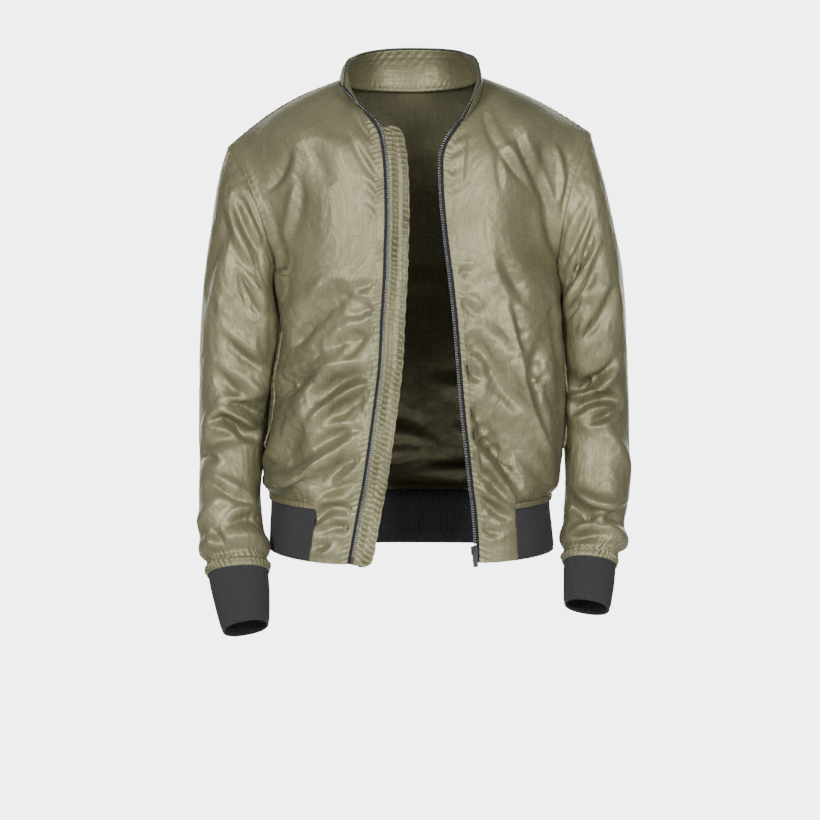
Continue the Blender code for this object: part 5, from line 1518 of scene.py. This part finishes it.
def make_welts(panels, places, mats):
    for side, tag in SIDES:
        w = dict(zip(WELT_NAMES.split(), WELTS[side]))
        grid = panels["front_" + tag]
        share = np.linspace(0, 1, 90)
        across = w["bottom_across"] + (w["top_across"] - w["bottom_across"]) * share
        across = across * (grid.shape[1] - 1)
        place = w["bottom_row"] + (w["top_row"] - w["bottom_row"]) * share
        row = np.interp(place, places, np.arange(len(places)))
        half = WELT_WIDTH / 2
        offsets = np.linspace(-1, 1, 15)
        middle, n = path_on(grid, side > 0, False, row, across, 0)
        along = unit(np.gradient(middle, axis=0))
        cross = unit(np.cross(n, along))
        far = run_lengths(middle)
        width = np.sqrt(np.clip(1 - offsets**6, 0, 1))
        ripple = np.sin(2 * math.pi * far / 0.011 + 3 * smooth_noise(far, .03, 121))
        puff = 0.0012 * ripple[:, None] * (1 - offsets**2)
        strip = middle[:, None] + cross[:, None] * (offsets * half)[None, :, None]
        height = 0.0012 + 0.0022 * width[None] + puff * 0.6
        height[:2] *= 0.5
        height[-2:] *= 0.5
        strip = strip + n[:, None] * height[..., None]
        piece = grid_object(f"pocket_welt_{tag}_cloth", strip, mats["nylon"], side > 0, wall=0.0012)
        place_piece(piece, "pocket_welt_" + tag)
        edge = middle + cross * half + n * 0.0012
        cord = tube(f"pocket_cord_{tag}", edge, 0.0011, mats["piping"], 8)
        place_piece(cord, None)


def make_topstitching(fine, collar_skin, guard_lines, mats):
    lines = list(guard_lines)
    for side, tag in SIDES:
        front = fine["front_" + tag]
        flip = side == LEFT
        rows = np.arange(2, len(front) - 2, dtype=float)
        lines.append(path_on(front, flip, False, rows, column_at(front, ZIP_STITCH)[2:-2]))
        along = lengths(front, 0)[:, 0]
        hem_row = np.interp(0.007, along, np.arange(len(front), dtype=float))
        columns = np.linspace(1, column_at(front, 0.055)[0], 60)
        lines.append(path_on(front, flip, False, np.full(60, hem_row), columns))
    along = lengths(collar_skin, 0)
    low = np.arange(4, collar_skin.shape[1] - 4, dtype=float)
    row = np.array([np.interp(a[-1] - COLLAR_STITCH, a, np.arange(len(a), dtype=float)) for a in along.T])
    lines.append(path_on(collar_skin, False, False, row[4:-4], low))
    piece = stitches("topstitching", lines, mats["thread"])
    place_piece(piece, None)


def make_hardware(mats):
    for name in ("zip_slider", "zip_pull", "zip_box", "zip_pin"):
        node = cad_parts[name]
        node.data.materials.clear()
        node.data.materials.append(mats["zip_metal"])


# ---------------------------------------------------------------- stage

FLOOR_Z, FLOOR_RADIUS = -1.40, 2.55
ROOM_FRONT, ROOM_BEHIND = 0.21, 5.0
LIGHTS = (  # name, place, target, size, watts
    ("key", (-1.5, -3.0, 0.62), (0, 0, -0.2), (0.8, 1.2), 98),
    ("fill", (1.40, -3.05, 0.55), (0, 0, -0.2), (0.7, 1.2), 82),
    ("rear_key", (1.5, 3.1, 0.60), (0, 0, -0.3), (1.0, 1.6), 32),
    ("rear_fill", (-1.7, 3.0, 0.30), (0, 0, -0.3), (1.0, 1.6), 26),
)
CAMERA_DISTANCE, CAMERA_HEIGHT, VIEW_MIDDLE_Z = 3.5, -0.34, -0.403
VIEW_HEIGHT = 1.066  # what the picture takes in at the garment, in metres


def area_light(name, place, target, size, power):
    light = bpy.data.lights.new(name, "AREA")
    light.shape, light.size, light.size_y = "RECTANGLE", size[0], size[1]
    light.energy = power
    lamp = bpy.data.objects.new(name, light)
    lamp.visible_camera = False
    lamp.location = place
    lamp.rotation_euler = aim(place, target)
    bpy.context.scene.collection.objects.link(lamp)


def aim(place, target):
    return (Vector(target) - Vector(place)).to_track_quat("-Z", "Y").to_euler()


def studio_world():
    """A pale room, lighter behind the jacket than before it."""
    world = bpy.data.worlds.new("studio")
    world.use_nodes = True
    tree = world.node_tree
    place = tree.nodes.new("ShaderNodeTexCoord")
    parts = tree.nodes.new("ShaderNodeSeparateXYZ")
    ramp = tree.nodes.new("ShaderNodeValToRGB")
    spread = tree.nodes.new("ShaderNodeMapRange")
    spread.inputs["From Min"].default_value, spread.inputs["From Max"].default_value = -1, 1
    for end, at, level in zip(ramp.color_ramp.elements, (0.92, 0.982), (ROOM_FRONT, ROOM_BEHIND)):
        end.position, end.color = at, (level, level, level, 1)
    tree.links.new(place.outputs["Generated"], parts.inputs[0])
    tree.links.new(parts.outputs["Y"], spread.inputs["Value"])
    tree.links.new(spread.outputs["Result"], ramp.inputs["Fac"])
    tree.links.new(ramp.outputs["Color"], tree.nodes["Background"].inputs["Color"])
    return world


def make_stage():
    scene = bpy.context.scene
    scene.world = studio_world()
    turn = np.linspace(0, 2 * math.pi, 97)[:-1]
    rings = [[(r * math.cos(t), r * math.sin(t), FLOOR_Z) for t in turn] for r in (0.5, 1.5, FLOOR_RADIUS)]
    verts = [(0, 0, FLOOR_Z)] + [p for ring_points in rings for p in ring_points]
    count = len(turn)
    faces = [(0, 1 + k, 1 + (k + 1) % count) for k in range(count)]
    for r in range(2):
        low, high = 1 + r * count, 1 + (r + 1) * count
        faces += [(low + k, high + k, high + (k + 1) % count, low + (k + 1) % count) for k in range(count)]
    mesh_object("floor", verts, faces, plain_stage("floor", (0.86, 0.86, 0.86)))
    for light in LIGHTS:
        area_light(*light)
    camera = bpy.data.cameras.new("camera")
    camera.sensor_width = 36
    camera.lens = camera.sensor_width * CAMERA_DISTANCE / VIEW_HEIGHT
    seen = bpy.data.objects.new("camera", camera)
    seen.location = (0, -CAMERA_DISTANCE, CAMERA_HEIGHT)
    seen.rotation_euler = aim(seen.location, (0, 0, VIEW_MIDDLE_Z))
    scene.collection.objects.link(seen)
    scene.camera = seen


def main():
    mats = {
        "nylon": nylon("olive nylon"),
        "nylon_inside": nylon("olive nylon inside", 0.72, 0.55),
        "rib_knit": rib_knit(),
        "zip_tape": tape_cloth(),
        "zip_metal": dark_metal(),
        "zip_teeth": dark_metal("zip teeth", (128, 131, 138)),
        "piping": cord_cloth(),
        "thread": thread(),
    }
    panels, fine, places = make_shell(mats)
    make_ribs(panels, places, mats)
    collar, collar_normals, collar_skin = make_collar(panels, mats)
    make_piping(collar, collar_normals, mats)
    frames = make_zip(panels, collar_surfaces(panels), mats)
    guard_lines = make_guard(frames[RIGHT], mats)
    make_welts(panels, places, mats)
    make_topstitching(fine, collar_skin, guard_lines, mats)
    make_hardware(mats)
    make_stage()


main()
